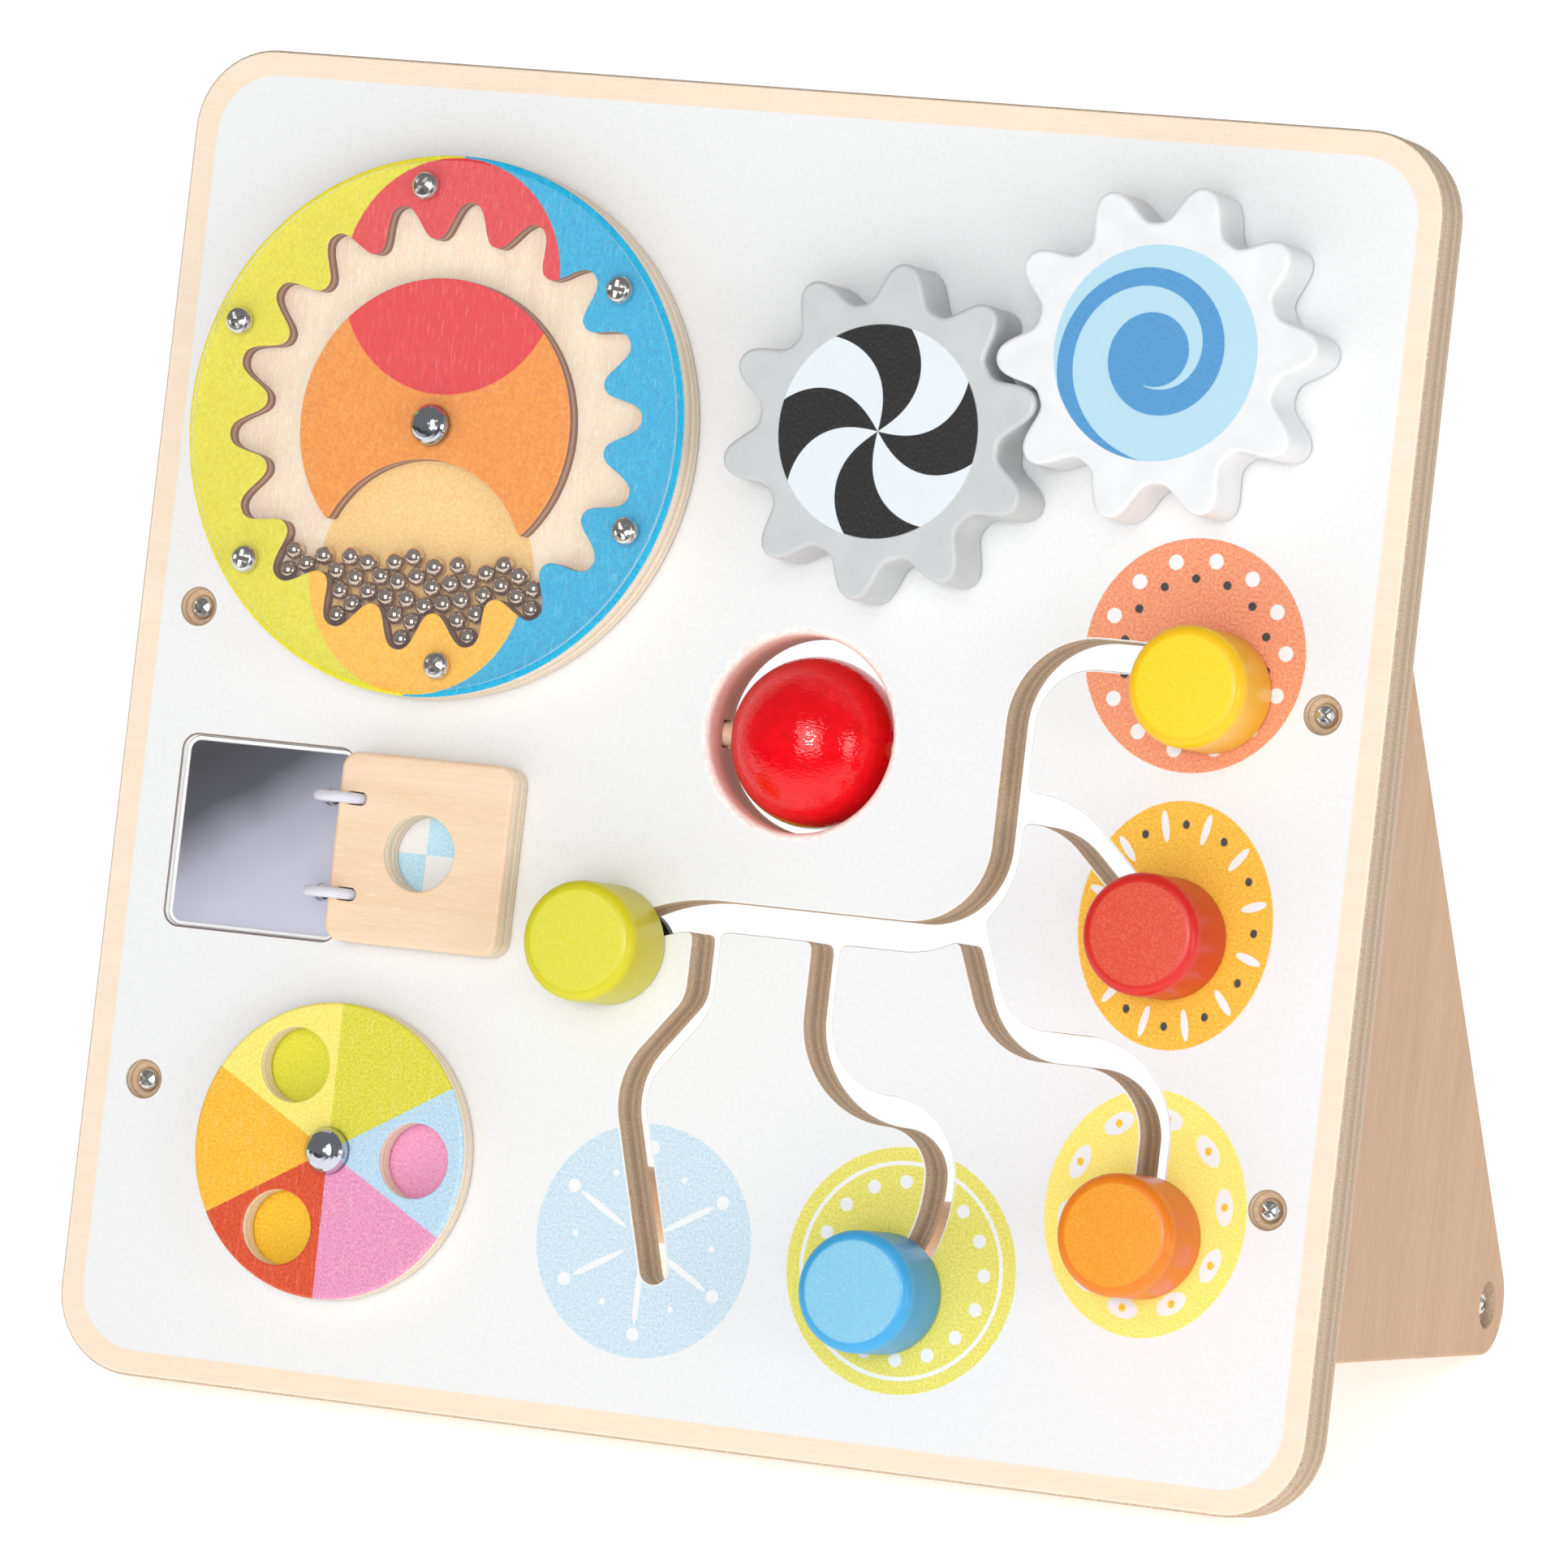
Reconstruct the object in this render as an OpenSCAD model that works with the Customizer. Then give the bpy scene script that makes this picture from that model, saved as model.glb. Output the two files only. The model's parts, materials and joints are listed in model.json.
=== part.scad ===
// Wooden busy board. An upright play panel leans back on two side panels and carries
// a ball drum, two meshing gears, a rolling ball, a mirror under a flap, a spinner
// and five knobs that slide in one branching slot.
//
// Every piece is drawn in the board's frame: X to the right, Y up along the board and
// Z out of its front face, with the origin at the middle of the lower front edge.
// stand_up() leans that frame back until the board and the side panels touch the table.

/* [Board] */
// Width of the board
board_w = 340; // [335:1:380]
// Height of the board, along its face
board_h = 340; // [332:1:380]
// Thickness of the board
board_t = 15; // [12:0.5:18]
// Radius of the board's corners
board_corner_r = 21; // [8:0.5:30]

/* [Side panels] */
// Thickness of each side panel
panel_t = 12; // [10:0.5:15]
// From the board's side edge to the middle of a side panel
panel_inset = 16.8; // [14:0.2:18]
// Height of a panel's lower front corner, along the board
panel_low_y = 38.2; // [25:0.2:50]
// Height of a panel's upper tip, along the board
panel_high_y = 249; // [230:1:270]
// Height of a panel's rear corner, along the board, before it is rounded
panel_rear_y = 44.7; // [35:0.1:55]
// How far a panel's rear corner reaches behind the board, before it is rounded
panel_depth = 165.5; // [140:0.5:190]
// Radius of a panel's rear corner
panel_foot_r = 13; // [11:0.5:16]
// Diameter of the crossbar that joins the panels at the rear
crossbar_d = 20; // [14:0.5:22]

/* [Board screws] */
// Height of the lower screw that holds the board to each side panel
panel_screw_low_y = 75.3; // [60:0.1:90]
// Height of the upper screw that holds the board to each side panel
panel_screw_high_y = 196.5; // [180:0.1:205]
// Diameter of a panel screw's head
panel_screw_head_d = 6.6; // [6:0.1:8.4]
// Height of a panel screw's head
panel_screw_head_h = 2; // [1.5:0.1:2.6]
// Diameter of a panel screw's shank
panel_screw_d = 4; // [3:0.1:4.5]
// Length of a panel screw's shank
panel_screw_l = 38; // [30:1:44]
// Diameter of the counterbore round a panel screw's head
counterbore_d = 9.2; // [8.8:0.1:10]
// Diameter of the counterbore round a crossbar screw's head
crossbar_counterbore_d = 12.2; // [8.8:0.1:13]
// Depth of the counterbores for the panel and crossbar screws
counterbore_h = 2.8; // [2.7:0.1:4.5]

/* [Ball drum] */
// From the board's left edge to the drum's centre
drum_from_left = 82; // [80:0.5:90]
// From the board's top edge to the drum's centre
drum_from_top = 93; // [80:0.5:95]
// Diameter of the drum's base disc and ring
drum_d = 137; // [134:0.5:140]
// Thickness of the drum's base disc
drum_base_t = 5; // [4:0.1:8]
// Diameter of the clear cover
drum_cover_d = 134; // [131:0.5:134]
// Thickness of the clear cover
drum_cover_t = 2; // [1.5:0.1:3]
// Number of pockets round the inside of the ring
lobe_count = 18; // [12:1:20]
// Radius of the ring at the bottom of a pocket
lobe_outer_r = 57; // [54:0.2:57]
// Radius of the ring at the tip of a lobe
lobe_inner_r = 47.4; // [46:0.2:50]
// Direction of one pocket, from +X
lobe_phase = 86.5; // [80:0.5:95]
// Diameter of the hub disc
hub_d = 74.8; // [60:0.2:80]
// Radius of the bite out of the hub's lower side
hub_bite_r = 29; // [20:0.5:31]
// Depth of the bite's centre below the hub's centre
hub_bite_drop = 37.5; // [36:0.5:45]
// Diameter of a steel ball
steel_ball_d = 5; // [4.5:0.1:5]
// Level of the heap of steel balls, below the drum's centre
heap_drop = 33.2; // [32:0.2:40]
// Radius of the circle of cover screws
cover_screw_r = 60.8; // [60.2:0.1:61.5]
// Number of cover screws
cover_screw_count = 6; // [3:1:8]
// Direction of the first cover screw, from +X
cover_screw_phase = 38.6; // [0:0.2:59]
// Diameter of a cover screw's head
cover_screw_head_d = 7.2; // [5:0.1:7.4]
// Height of a cover screw's head
cover_screw_head_h = 2.4; // [1.5:0.1:3]
// Diameter of a cover screw's shank
cover_screw_d = 3; // [2:0.1:3.4]
// Diameter of the drum bolt's domed head
drum_bolt_head_d = 10.7; // [9:0.1:14]
// Height of the drum bolt's domed head
drum_bolt_head_h = 4; // [3:0.1:6]

/* [Spinner] */
// From the board's left edge to the spinner's centre
spinner_from_left = 74; // [70:0.5:80]
// Height of the spinner's centre
spinner_y = 62.8; // [55:0.2:64]
// Diameter of the spinner disc
spinner_d = 74.8; // [68:0.2:78]
// Thickness of the spinner disc
spinner_t = 6.5; // [5:0.1:9]
// Diameter of each finger hole
spinner_hole_d = 19; // [15:0.2:21]
// Radius of the circle of finger holes
spinner_hole_r = 23.8; // [21:0.1:25]
// Number of finger holes
spinner_hole_count = 3; // [2:1:5]
// Diameter of the spinner bolt's domed head
spinner_bolt_head_d = 12.2; // [10:0.1:16]
// Height of the spinner bolt's domed head
spinner_bolt_head_h = 5; // [4:0.1:7]

/* [Bolts, nuts and washers] */
// Diameter of the two through bolts
bolt_d = 6; // [5:0.1:7]
// Width of a nut across its corners
nut_corner_d = 11.5; // [10.5:0.1:13]
// Height of a nut
nut_h = 5; // [4:0.1:6]
// Diameter of a bolt washer
washer_d = 18; // [14:0.5:20]
// Thickness of a bolt washer
washer_t = 0.7; // [0.5:0.1:0.75]
// How far a bolt ends behind its nut
bolt_end = 1.5; // [1:0.1:3]

/* [Gears] */
// From the board's right edge to the white gear's centre
gear_from_right = 63.9; // [62:0.1:75]
// From the board's top edge to the white gear's centre
gear_from_top = 60.2; // [50:0.1:70]
// Number of teeth on each gear
tooth_count = 10; // [8:1:12]
// Radius of a gear at the tip of a tooth
tooth_tip_r = 42; // [40:0.1:42]
// Radius of a gear at the bottom of a gap
tooth_root_r = 32.2; // [30:0.1:32.2]
// Clearance between a tip and the gap that it meets
tooth_clear = 0.7; // [0.5:0.1:2]
// Thickness of a gear
gear_t = 17.2; // [12:0.2:22]
// Direction from the grey gear's centre to the white gear's centre
gear_line = 19.5; // [10:0.5:30]
// Direction of one tooth on the grey gear, from +X
tooth_phase = 86.8; // [70:0.2:106]
// Diameter of a gear's turning pin
gear_pin_d = 10; // [8:0.2:14]
// Depth of the pin's hole in a gear
gear_pin_seat = 12; // [8:0.5:14]
// Diameter of a gear's rear washer
gear_washer_d = 20; // [16:0.5:26]
// Thickness of a gear's rear washer
gear_washer_t = 1.5; // [1:0.1:3]

/* [Rolling ball] */
// From the board's centre line to the ball's centre
ball_x = 16.2; // [12:0.2:20]
// Height of the ball hole's centre
ball_hole_y = 179.3; // [177:0.1:180]
// Diameter of the hole round the ball
ball_hole_d = 49.4; // [48.4:0.1:52]
// Diameter of the ball
ball_d = 43.2; // [38:0.2:44]
// Depth of the ball's centre behind the board's front face
ball_depth = 11.9; // [11.5:0.1:11.9]
// How far the axle lies below the hole's centre
ball_drop = 1.4; // [0:0.1:1.6]
// Diameter of the ball's axle
ball_axle_d = 6; // [4:0.1:6]
// How far the axle reaches into the board on each side
ball_axle_seat = 10; // [8:0.5:12]
// Height of each keeper plate behind the axle's ends
keeper_h = 30; // [28:0.5:36]
// Width of each keeper plate
keeper_w = 14; // [12:0.5:18]
// Thickness of each keeper plate
keeper_t = 2.5; // [2:0.1:4]
// From the axle to each keeper screw
keeper_screw_reach = 9; // [8:0.5:10]

/* [Mirror and flap] */
// From the board's left edge to the middle of the mirror's recess
recess_from_left = 41.4; // [41:0.2:46]
// Height of the middle of the recess
recess_y = 139.6; // [135:0.2:142]
// Width of the recess
recess_w = 48.4; // [44:0.2:49]
// Height of the recess
recess_h = 48.8; // [44:0.2:50]
// Depth of the recess
recess_depth = 4; // [3:0.1:5]
// Radius of the recess's corners
recess_r = 4; // [2:0.2:6]
// Thickness of the mirror
mirror_t = 2; // [1:0.1:2.5]
// Width and height of the flap
flap_w = 48; // [44:0.2:50]
// Thickness of the flap
flap_t = 9; // [7:0.1:10]
// Radius of the flap's corners
flap_r = 4.5; // [2:0.1:6]
// Diameter of the peep hole in the flap
flap_hole_d = 19.4; // [15:0.2:22]
// Radius of the round top of a hinge loop
loop_r = 6.6; // [6.5:0.1:7.5]
// Diameter of a hinge loop's cord
loop_d = 2.8; // [2:0.1:3]
// From the middle of the recess to each hinge loop
loop_reach = 12.1; // [12:0.1:15]

/* [Slot] */
// Width of the slot
slot_w = 7.5; // [7.3:0.1:9]
// Height of the slot's level stretch
slot_y = 132.1; // [130:0.1:134]
// From the board's right edge to the slot's upright stretch
riser_from_right = 95.3; // [93:0.1:98]

/* [Knobs] */
// Diameter of a knob
knob_d = 30.2; // [26:0.2:32]
// Height of a knob
knob_h = 21; // [16:0.2:24]
// Radius of a knob's rim
knob_rim_r = 2.5; // [1:0.1:4]
// Diameter of a knob's peg
peg_d = 7; // [6:0.1:7]
// Depth of the peg's hole in a knob
peg_seat = 11; // [8:0.5:14]
// Diameter of the disc that holds a peg behind the board
retainer_d = 20; // [14:0.5:24]
// Thickness of that disc
retainer_t = 2.5; // [2:0.1:4]

/* [Small screws] */
// Diameter of a small screw's head
small_head_d = 6.4; // [5:0.1:7]
// Height of a small screw's head
small_head_h = 2; // [1.5:0.1:2.4]
// Diameter of a small screw's shank
small_screw_d = 3; // [2:0.1:3]
// Length of a small screw's shank
small_screw_l = 11; // [8:0.5:12]

/* [Fits] */
// Radial clearance of a shaft that turns in its bore
run_fit = 0.1; // [0.05:0.01:0.1]
// Radial clearance of a screw or peg in its hole
hold_fit = 0.05; // [0.02:0.01:0.1]
// Gap between a disc or gear and the board
face_gap = 0.8; // [0.8:0.1:1]
// Gap between a knob, or its retainer, and the board
knob_gap = 0.5; // [0.3:0.1:0.9]
// Gap between the flap and the board
flap_gap = 0.3; // [0.3:0.1:0.6]
// Gap round the mirror and the hinge loops
seat_gap = 0.3; // [0.2:0.05:0.4]

/* [Hidden] */
$fn = 64;
// Cuts run this far past the faces that they open
over = 1;
// One step along an arc, in degrees
arc_step = 7.5;
// One step round the small end of a slot, in degrees
cap_step = 15;
// Space left beyond the tip of a screw or beside a part in its groove
slack = 0.5;
// Play of a steel ball between the drum's base and its cover
ball_play = 0.2;
// Share of the drum's base that a cover screw enters
screw_reach = 0.7;
// Depth inside the board at which a hinge loop's legs meet its round back
loop_turn = 1;

// Centres on the board's face
drum_at = [-board_w / 2 + drum_from_left, board_h - drum_from_top];
spinner_at = [-board_w / 2 + spinner_from_left, spinner_y];
white_gear_at = [board_w / 2 - gear_from_right, board_h - gear_from_top];
gear_spacing = tooth_tip_r + tooth_root_r + tooth_clear;
grey_gear_at = white_gear_at - gear_spacing * [cos(gear_line), sin(gear_line)];
ball_at = [ball_x, ball_hole_y - ball_drop];
recess_at = [-board_w / 2 + recess_from_left, recess_y];
panel_x = board_w / 2 - panel_inset;
panel_inner_x = panel_x - panel_t / 2;
panel_outer_x = panel_x + panel_t / 2;
panel_screw_ys = [panel_screw_low_y, panel_screw_high_y];

// Levels above the board's front face
drum_ring_t = steel_ball_d + ball_play;
drum_ring_z = face_gap + drum_base_t;
drum_cover_z = drum_ring_z + drum_ring_t;
drum_head_z = drum_cover_z + drum_cover_t + 2 * run_fit;
spinner_head_z = face_gap + spinner_t + 2 * run_fit;
back_z = -board_t;
retainer_z = back_z - knob_gap;

// The flap turns about the line through the middle of its edge
hinge_x = recess_at[0] + recess_w / 2 + 2 * seat_gap;
hinge_z = flap_gap + flap_t / 2;

// ---- Paths: each state is [x, y, heading], and a move is [length] or [radius, turn] ----

function ahead(s, d) = [s[0] + d * cos(s[2]), s[1] + d * sin(s[2]), s[2]];
function bend(s, r, turn) = let(side = sign(turn), end = s[2] + turn)
    [s[0] + side * r * (sin(end) - sin(s[2])), s[1] - side * r * (cos(end) - cos(s[2])), end];
function move(s, m) = len(m) == 1
    ? [ahead(s, m[0])]
    : let(n = ceil(abs(m[1]) / arc_step)) [for (k = [1:n]) bend(s, m[0], m[1] * k / n)];
function last(list) = list[len(list) - 1];
function onward(s, moves, i) = i == len(moves) ? []
    : let(leg = move(s, moves[i])) concat(leg, onward(last(leg), moves, i + 1));
function walk(s, moves) = concat([s], onward(s, moves, 0));
function turned_back(path) = [for (k = [len(path) - 1:-1:1]) [path[k][0], path[k][1], path[k][2] + 180]];

// Outline of a band along a path, round at its far end and, where asked, at its start
function side_points(path, d) = [for (s = path) [s[0] - d * sin(s[2]), s[1] + d * cos(s[2])]];
function cap_points(s, r) = [for (a = [90 - cap_step:-cap_step:cap_step - 90])
    [s[0] + r * cos(s[2] + a), s[1] + r * sin(s[2] + a)]];
function band(path, w, round_start) = let(right = side_points(path, -w / 2)) concat(
    side_points(path, w / 2),
    cap_points(last(path), w / 2),
    [for (k = [len(path) - 1:-1:0]) right[k]],
    round_start ? cap_points([path[0][0], path[0][1], path[0][2] + 180], w / 2) : []);

// The slot's level stretch starts above the lime knob's arc, and branches leave it
slot_start = [0, slot_y];
lime_arc_r = 45;
rise_r = 24.7;
rise_l = 30.2;
yellow_arc_r = 38.3;
red_l = 32.2;
orange_l = 23.1;
blue_arc_r = 41;
riser_x = board_w / 2 - riser_from_right;
level_l = riser_x - rise_r - slot_start[0];
lime_path = walk([slot_start[0], slot_start[1], 180], [[lime_arc_r, 39]]);
main_path = concat(turned_back(lime_path), walk([slot_start[0], slot_start[1], 0],
    [[level_l], [rise_r, 90], [rise_l], [19, -90], [9.3], [yellow_arc_r, -34.2]]));
red_path = walk([riser_x, slot_y + 34.7, 0], [[5.3], [24, -43], [red_l]]);
orange_path = walk([riser_x - 8.2, slot_y + 7.1, -69],
    [[20.6], [17.4, 69], [11.4], [20.5, -90], [orange_l]]);
blue_path = walk([29.8, slot_y, -90], [[21.8], [21.5, 90], [15.7, -90], [1.1], [blue_arc_r, -43.1]]);
spare_path = walk([-2.6, slot_y, -90], [[17.6], [14, -38], [13.7], [17, 53.5], [38.5]]);
knob_homes = [for (p = [lime_path, main_path, red_path, orange_path, blue_path])
    [last(p)[0], last(p)[1]]];

// ---- Side panel outline and the lean that sets the board and the panels on the table ----

panel_rear = [panel_rear_y, back_z - panel_depth];
panel_low = [panel_low_y, back_z];
panel_high = [panel_high_y, back_z];
function unit(v) = v / norm(v);
// Centre of the arc of radius r that rounds corner c between points a and b
function fillet_centre(a, c, b, r) = let(u = unit(a - c), v = unit(b - c))
    c + unit(u + v) * r / sin(acos(u * v) / 2);
foot = fillet_centre(panel_low, panel_rear, panel_high, panel_foot_r);
foot_reach = [foot[0], -(foot[1] + board_t)];
lean = acos(panel_foot_r / norm(foot_reach)) - atan2(foot_reach[1], foot_reach[0]);

// The origin lies under the middle of the object, between its rear foot and its foremost rim
function rim_front(home) = (home[1] - knob_d / 2 + knob_rim_r) * sin(lean)
    - (knob_gap + knob_h - knob_rim_r) * cos(lean) - knob_rim_r;
front_y = min([for (h = knob_homes) rim_front(h)]);
rear_y = foot[0] * sin(lean) - foot[1] * cos(lean) + panel_foot_r;

module stand_up() {
    translate([0, -(front_y + rear_y) / 2, board_t * sin(lean)])
        rotate([90 - lean, 0, 0]) children();
}

// ---- Shared outlines ----

// A wavy radius with n crests; square flattens crests and gaps, slim narrows the crests
wave_square = 0.8;
function wave_r(a, n, low, high, slim) = let(
    u = cos(n * a),
    s = sin(90 * wave_square * u) / sin(90 * wave_square) - slim * (1 - u * u))
    (high + low) / 2 + (high - low) / 2 * s;
module wave_outline(n, low, high, phase, slim, steps) {
    polygon([for (k = [0:n * steps - 1]) let(a = 360 * k / (n * steps))
        wave_r(a, n, low, high, slim) * [cos(a + phase), sin(a + phase)]]);
}
module rounded_rect(w, h, r) {
    polygon([for (q = [0:3]) for (a = [0:arc_step:90])
        [(q == 0 || q == 3 ? 1 : -1) * (w / 2 - r) + r * cos(a + 90 * q),
         (q < 2 ? 1 : -1) * (h / 2 - r) + r * sin(a + 90 * q)]]);
}

// ---- Fasteners: each stands on the plane of its head's seat, with the shank below ----

// Cross of a driver recess, its arms on the diagonals
module cross_recess(d, depth) {
    arm = d / 4;
    for (a = [45, 135]) rotate(a) translate([-d / 2, -arm / 2, 0]) cube([d, arm, depth]);
}
module screw(head_d, head_h, shank_d, length) {
    difference() {
        union() {
            rotate_extrude() polygon(concat([[0, 0], [head_d / 2, 0]],
                [for (a = [15:15:75]) [head_d / 2 * cos(a), head_h * sin(a)]], [[0, head_h]]));
            rotate_extrude() polygon([[0, over / 4], [0, -length],
                [shank_d / 2, shank_d - length], [shank_d / 2, over / 4]]);
        }
        translate([0, 0, head_h * 0.45]) cross_recess(head_d * 0.62, head_h);
    }
}
module small_screw() {
    screw(small_head_d, small_head_h, small_screw_d, small_screw_l);
}
module domed_bolt(head_d, head_h, head_z) {
    end_z = back_z - washer_t - nut_h - bolt_end;
    translate([0, 0, head_z]) rotate_extrude() polygon(concat([[0, 0]],
        [for (a = [0:10:80]) [head_d / 2 * cos(a), head_h * sin(a)]], [[0, head_h]]));
    translate([0, 0, end_z]) cylinder(d = bolt_d, h = head_z - end_z + over / 4);
}
module bolt_washers() {
    for (z = [0, back_z - washer_t]) translate([0, 0, z]) difference() {
        cylinder(d = washer_d, h = washer_t);
        translate([0, 0, -over]) cylinder(r = bolt_d / 2 + run_fit, h = washer_t + 2 * over);
    }
}
module bolt_nut() {
    translate([0, 0, back_z - washer_t - nut_h]) difference() {
        cylinder(d = nut_corner_d, h = nut_h, $fn = 6);
        translate([0, 0, -over]) cylinder(r = bolt_d / 2 + hold_fit, h = nut_h + 2 * over);
    }
}
// Round hole right through the board, with its centre at p
module board_bore(p, r) {
    translate([p[0], p[1], back_z - over]) cylinder(r = r, h = board_t + 2 * over);
}

// ---- Board, side panels and crossbar ----

module slot_cut() {
    translate([0, 0, back_z - over]) {
        linear_extrude(board_t + 2 * over) polygon(band(main_path, slot_w, true));
        for (p = [red_path, orange_path, blue_path, spare_path])
            linear_extrude(board_t + 2 * over) polygon(band(p, slot_w, false));
    }
}
module board() {
    color("whitesmoke") difference() {
        translate([0, board_h / 2, back_z]) linear_extrude(board_t)
            rounded_rect(board_w, board_h, board_corner_r);
        slot_cut();
        board_bore([ball_x, ball_hole_y], ball_hole_d / 2);
        axle_groove();
        board_bore(drum_at, bolt_d / 2 + hold_fit);
        board_bore(spinner_at, bolt_d / 2 + hold_fit);
        board_bore(grey_gear_at, gear_pin_d / 2 + run_fit);
        board_bore(white_gear_at, gear_pin_d / 2 + run_fit);
        for (side = [-1, 1]) for (y = panel_screw_ys) {
            board_bore([side * panel_x, y], panel_screw_d / 2 + hold_fit);
            translate([side * panel_x, y, -counterbore_h])
                cylinder(d = counterbore_d, h = counterbore_h + over);
        }
        translate([recess_at[0], recess_at[1], -recess_depth])
            linear_extrude(recess_depth + over) rounded_rect(recess_w, recess_h, recess_r);
        loop_holes(loop_d / 2 + seat_gap);
        for (p = keeper_screw_spots())
            translate([p[0], p[1], back_z - over])
                cylinder(r = small_screw_d / 2 + hold_fit, h = over + small_screw_l - keeper_t + slack);
    }
}
module side_panel(side) {
    low_dir = atan2(panel_low[1] - panel_rear[1], panel_low[0] - panel_rear[0]);
    high_dir = atan2(panel_high[1] - panel_rear[1], panel_high[0] - panel_rear[0]);
    // The rounding runs from the normal of one edge to the normal of the other
    turns = [for (k = [0:16]) low_dir + 90 + (high_dir + 270 - low_dir - 90) * k / 16];
    outline = concat([panel_high, panel_low],
        [for (a = turns) foot + panel_foot_r * [cos(a), sin(a)]]);
    color("burlywood") translate([side * panel_x, 0, 0]) difference() {
        translate([-panel_t / 2, 0, 0]) rotate([90, 0, 90]) linear_extrude(panel_t) polygon(outline);
        for (y = panel_screw_ys) translate([0, y, back_z + over])
            rotate([180, 0, 0]) cylinder(r = panel_screw_d / 2 + hold_fit,
                h = panel_screw_l + counterbore_h - board_t + 2 * over);
        translate([-panel_t, foot[0], foot[1]]) rotate([0, 90, 0])
            cylinder(r = panel_screw_d / 2 + hold_fit, h = 2 * panel_t);
        translate([side * (panel_t / 2 - counterbore_h), foot[0], foot[1]])
            rotate([0, side * 90, 0])
                cylinder(d = crossbar_counterbore_d, h = counterbore_h + over);
    }
}
crossbar_pilot = panel_screw_l - panel_t + counterbore_h + 2 * over;
module rear_crossbar() {
    color("burlywood") translate([-panel_inner_x, foot[0], foot[1]]) rotate([0, 90, 0]) difference() {
        cylinder(d = crossbar_d, h = 2 * panel_inner_x);
        for (z = [-over, 2 * panel_inner_x + over - crossbar_pilot]) translate([0, 0, z])
            cylinder(r = panel_screw_d / 2 + hold_fit, h = crossbar_pilot);
    }
}
module panel_screws() {
    color("silver") for (side = [-1, 1]) for (y = panel_screw_ys)
        translate([side * panel_x, y, -counterbore_h])
            screw(panel_screw_head_d, panel_screw_head_h, panel_screw_d, panel_screw_l);
}
module crossbar_screws() {
    color("silver") for (side = [-1, 1])
        translate([side * (panel_outer_x - counterbore_h), foot[0], foot[1]]) rotate([0, side * 90, 0])
            screw(panel_screw_head_d, panel_screw_head_h, panel_screw_d, panel_screw_l);
}

// ---- Ball drum ----

module at_drum(z) {
    translate([drum_at[0], drum_at[1], z]) children();
}
module drum_bore(h) {
    translate([0, 0, -over]) cylinder(r = bolt_d / 2 + run_fit, h = h + 2 * over);
}
module cover_screw_holes(z, h) {
    for (k = [0:cover_screw_count - 1]) rotate(cover_screw_phase + 360 * k / cover_screw_count)
        translate([cover_screw_r, 0, z]) cylinder(r = cover_screw_d / 2 + hold_fit, h = h);
}
cover_screw_l = drum_cover_t + drum_ring_t + drum_base_t * screw_reach;
module drum_base() {
    color("burlywood") at_drum(face_gap) difference() {
        cylinder(d = drum_d, h = drum_base_t, $fn = 128);
        drum_bore(drum_base_t);
        cover_screw_holes(drum_base_t * (1 - screw_reach) - slack, drum_base_t);
    }
}
module drum_ring() {
    color("yellowgreen") at_drum(drum_ring_z) difference() {
        cylinder(d = drum_d, h = drum_ring_t, $fn = 128);
        translate([0, 0, -over]) linear_extrude(drum_ring_t + 2 * over)
            wave_outline(lobe_count, lobe_inner_r, lobe_outer_r, lobe_phase, 0, 12);
        cover_screw_holes(-over, drum_ring_t + 2 * over);
    }
}
module drum_hub() {
    color("orange") at_drum(drum_ring_z) difference() {
        cylinder(d = hub_d, h = drum_ring_t, $fn = 96);
        translate([0, -hub_bite_drop, -over])
            cylinder(r = hub_bite_r, h = drum_ring_t + 2 * over, $fn = 96);
        drum_bore(drum_ring_t);
    }
}
module drum_cover() {
    color("lightcyan") at_drum(drum_cover_z) difference() {
        cylinder(d = drum_cover_d, h = drum_cover_t, $fn = 128);
        drum_bore(drum_cover_t);
        cover_screw_holes(-over, drum_cover_t + 2 * over);
    }
}
module drum_cover_screws() {
    color("silver") at_drum(drum_cover_z + drum_cover_t)
        for (k = [0:cover_screw_count - 1]) rotate(cover_screw_phase + 360 * k / cover_screw_count)
            translate([cover_screw_r, 0, 0])
                screw(cover_screw_head_d, cover_screw_head_h, cover_screw_d, cover_screw_l);
}

// The heap: spots are tried from the bottom up, and one is kept where a ball clears the
// ring's wall and every ball laid so far
ball_gap = 0.06;
wall_gap = 0.15;
wall_look = [-9:0.3:9];
function wall_at(a) = wave_r(a - lobe_phase, lobe_count, lobe_inner_r, lobe_outer_r, 0)
    * [cos(a), sin(a)];
function clears_wall(p) = let(a = atan2(p[1], p[0]))
    norm(p) + steel_ball_d / 2 < norm(wall_at(a))
    && min([for (d = wall_look) norm(p - wall_at(a + d))]) > steel_ball_d / 2 + wall_gap;
function clears_balls(p, laid) =
    len([for (b = laid) if (norm(p - b) < steel_ball_d + ball_gap) b]) == 0;
function lay_balls(spots, i, laid) = i == len(spots) ? laid
    : lay_balls(spots, i + 1, clears_balls(spots[i], laid) ? concat(laid, [spots[i]]) : laid);
module steel_balls() {
    spots = [for (y = [-lobe_outer_r:0.35:-heap_drop]) for (x = [-lobe_inner_r:0.5:lobe_inner_r])
        if (norm([x, y]) < lobe_outer_r && clears_wall([x, y])) [x, y]];
    color("gray") at_drum(drum_ring_z + drum_ring_t / 2)
        for (b = lay_balls(spots, 0, [])) translate([b[0], b[1], 0])
            sphere(d = steel_ball_d, $fn = 24);
}
module drum_bolt() {
    color("silver") at_drum(0) domed_bolt(drum_bolt_head_d, drum_bolt_head_h, drum_head_z);
}
module drum_washers() {
    color("gray") at_drum(0) bolt_washers();
}
module drum_nut() {
    color("gray") at_drum(0) bolt_nut();
}

// ---- Spinner ----

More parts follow.
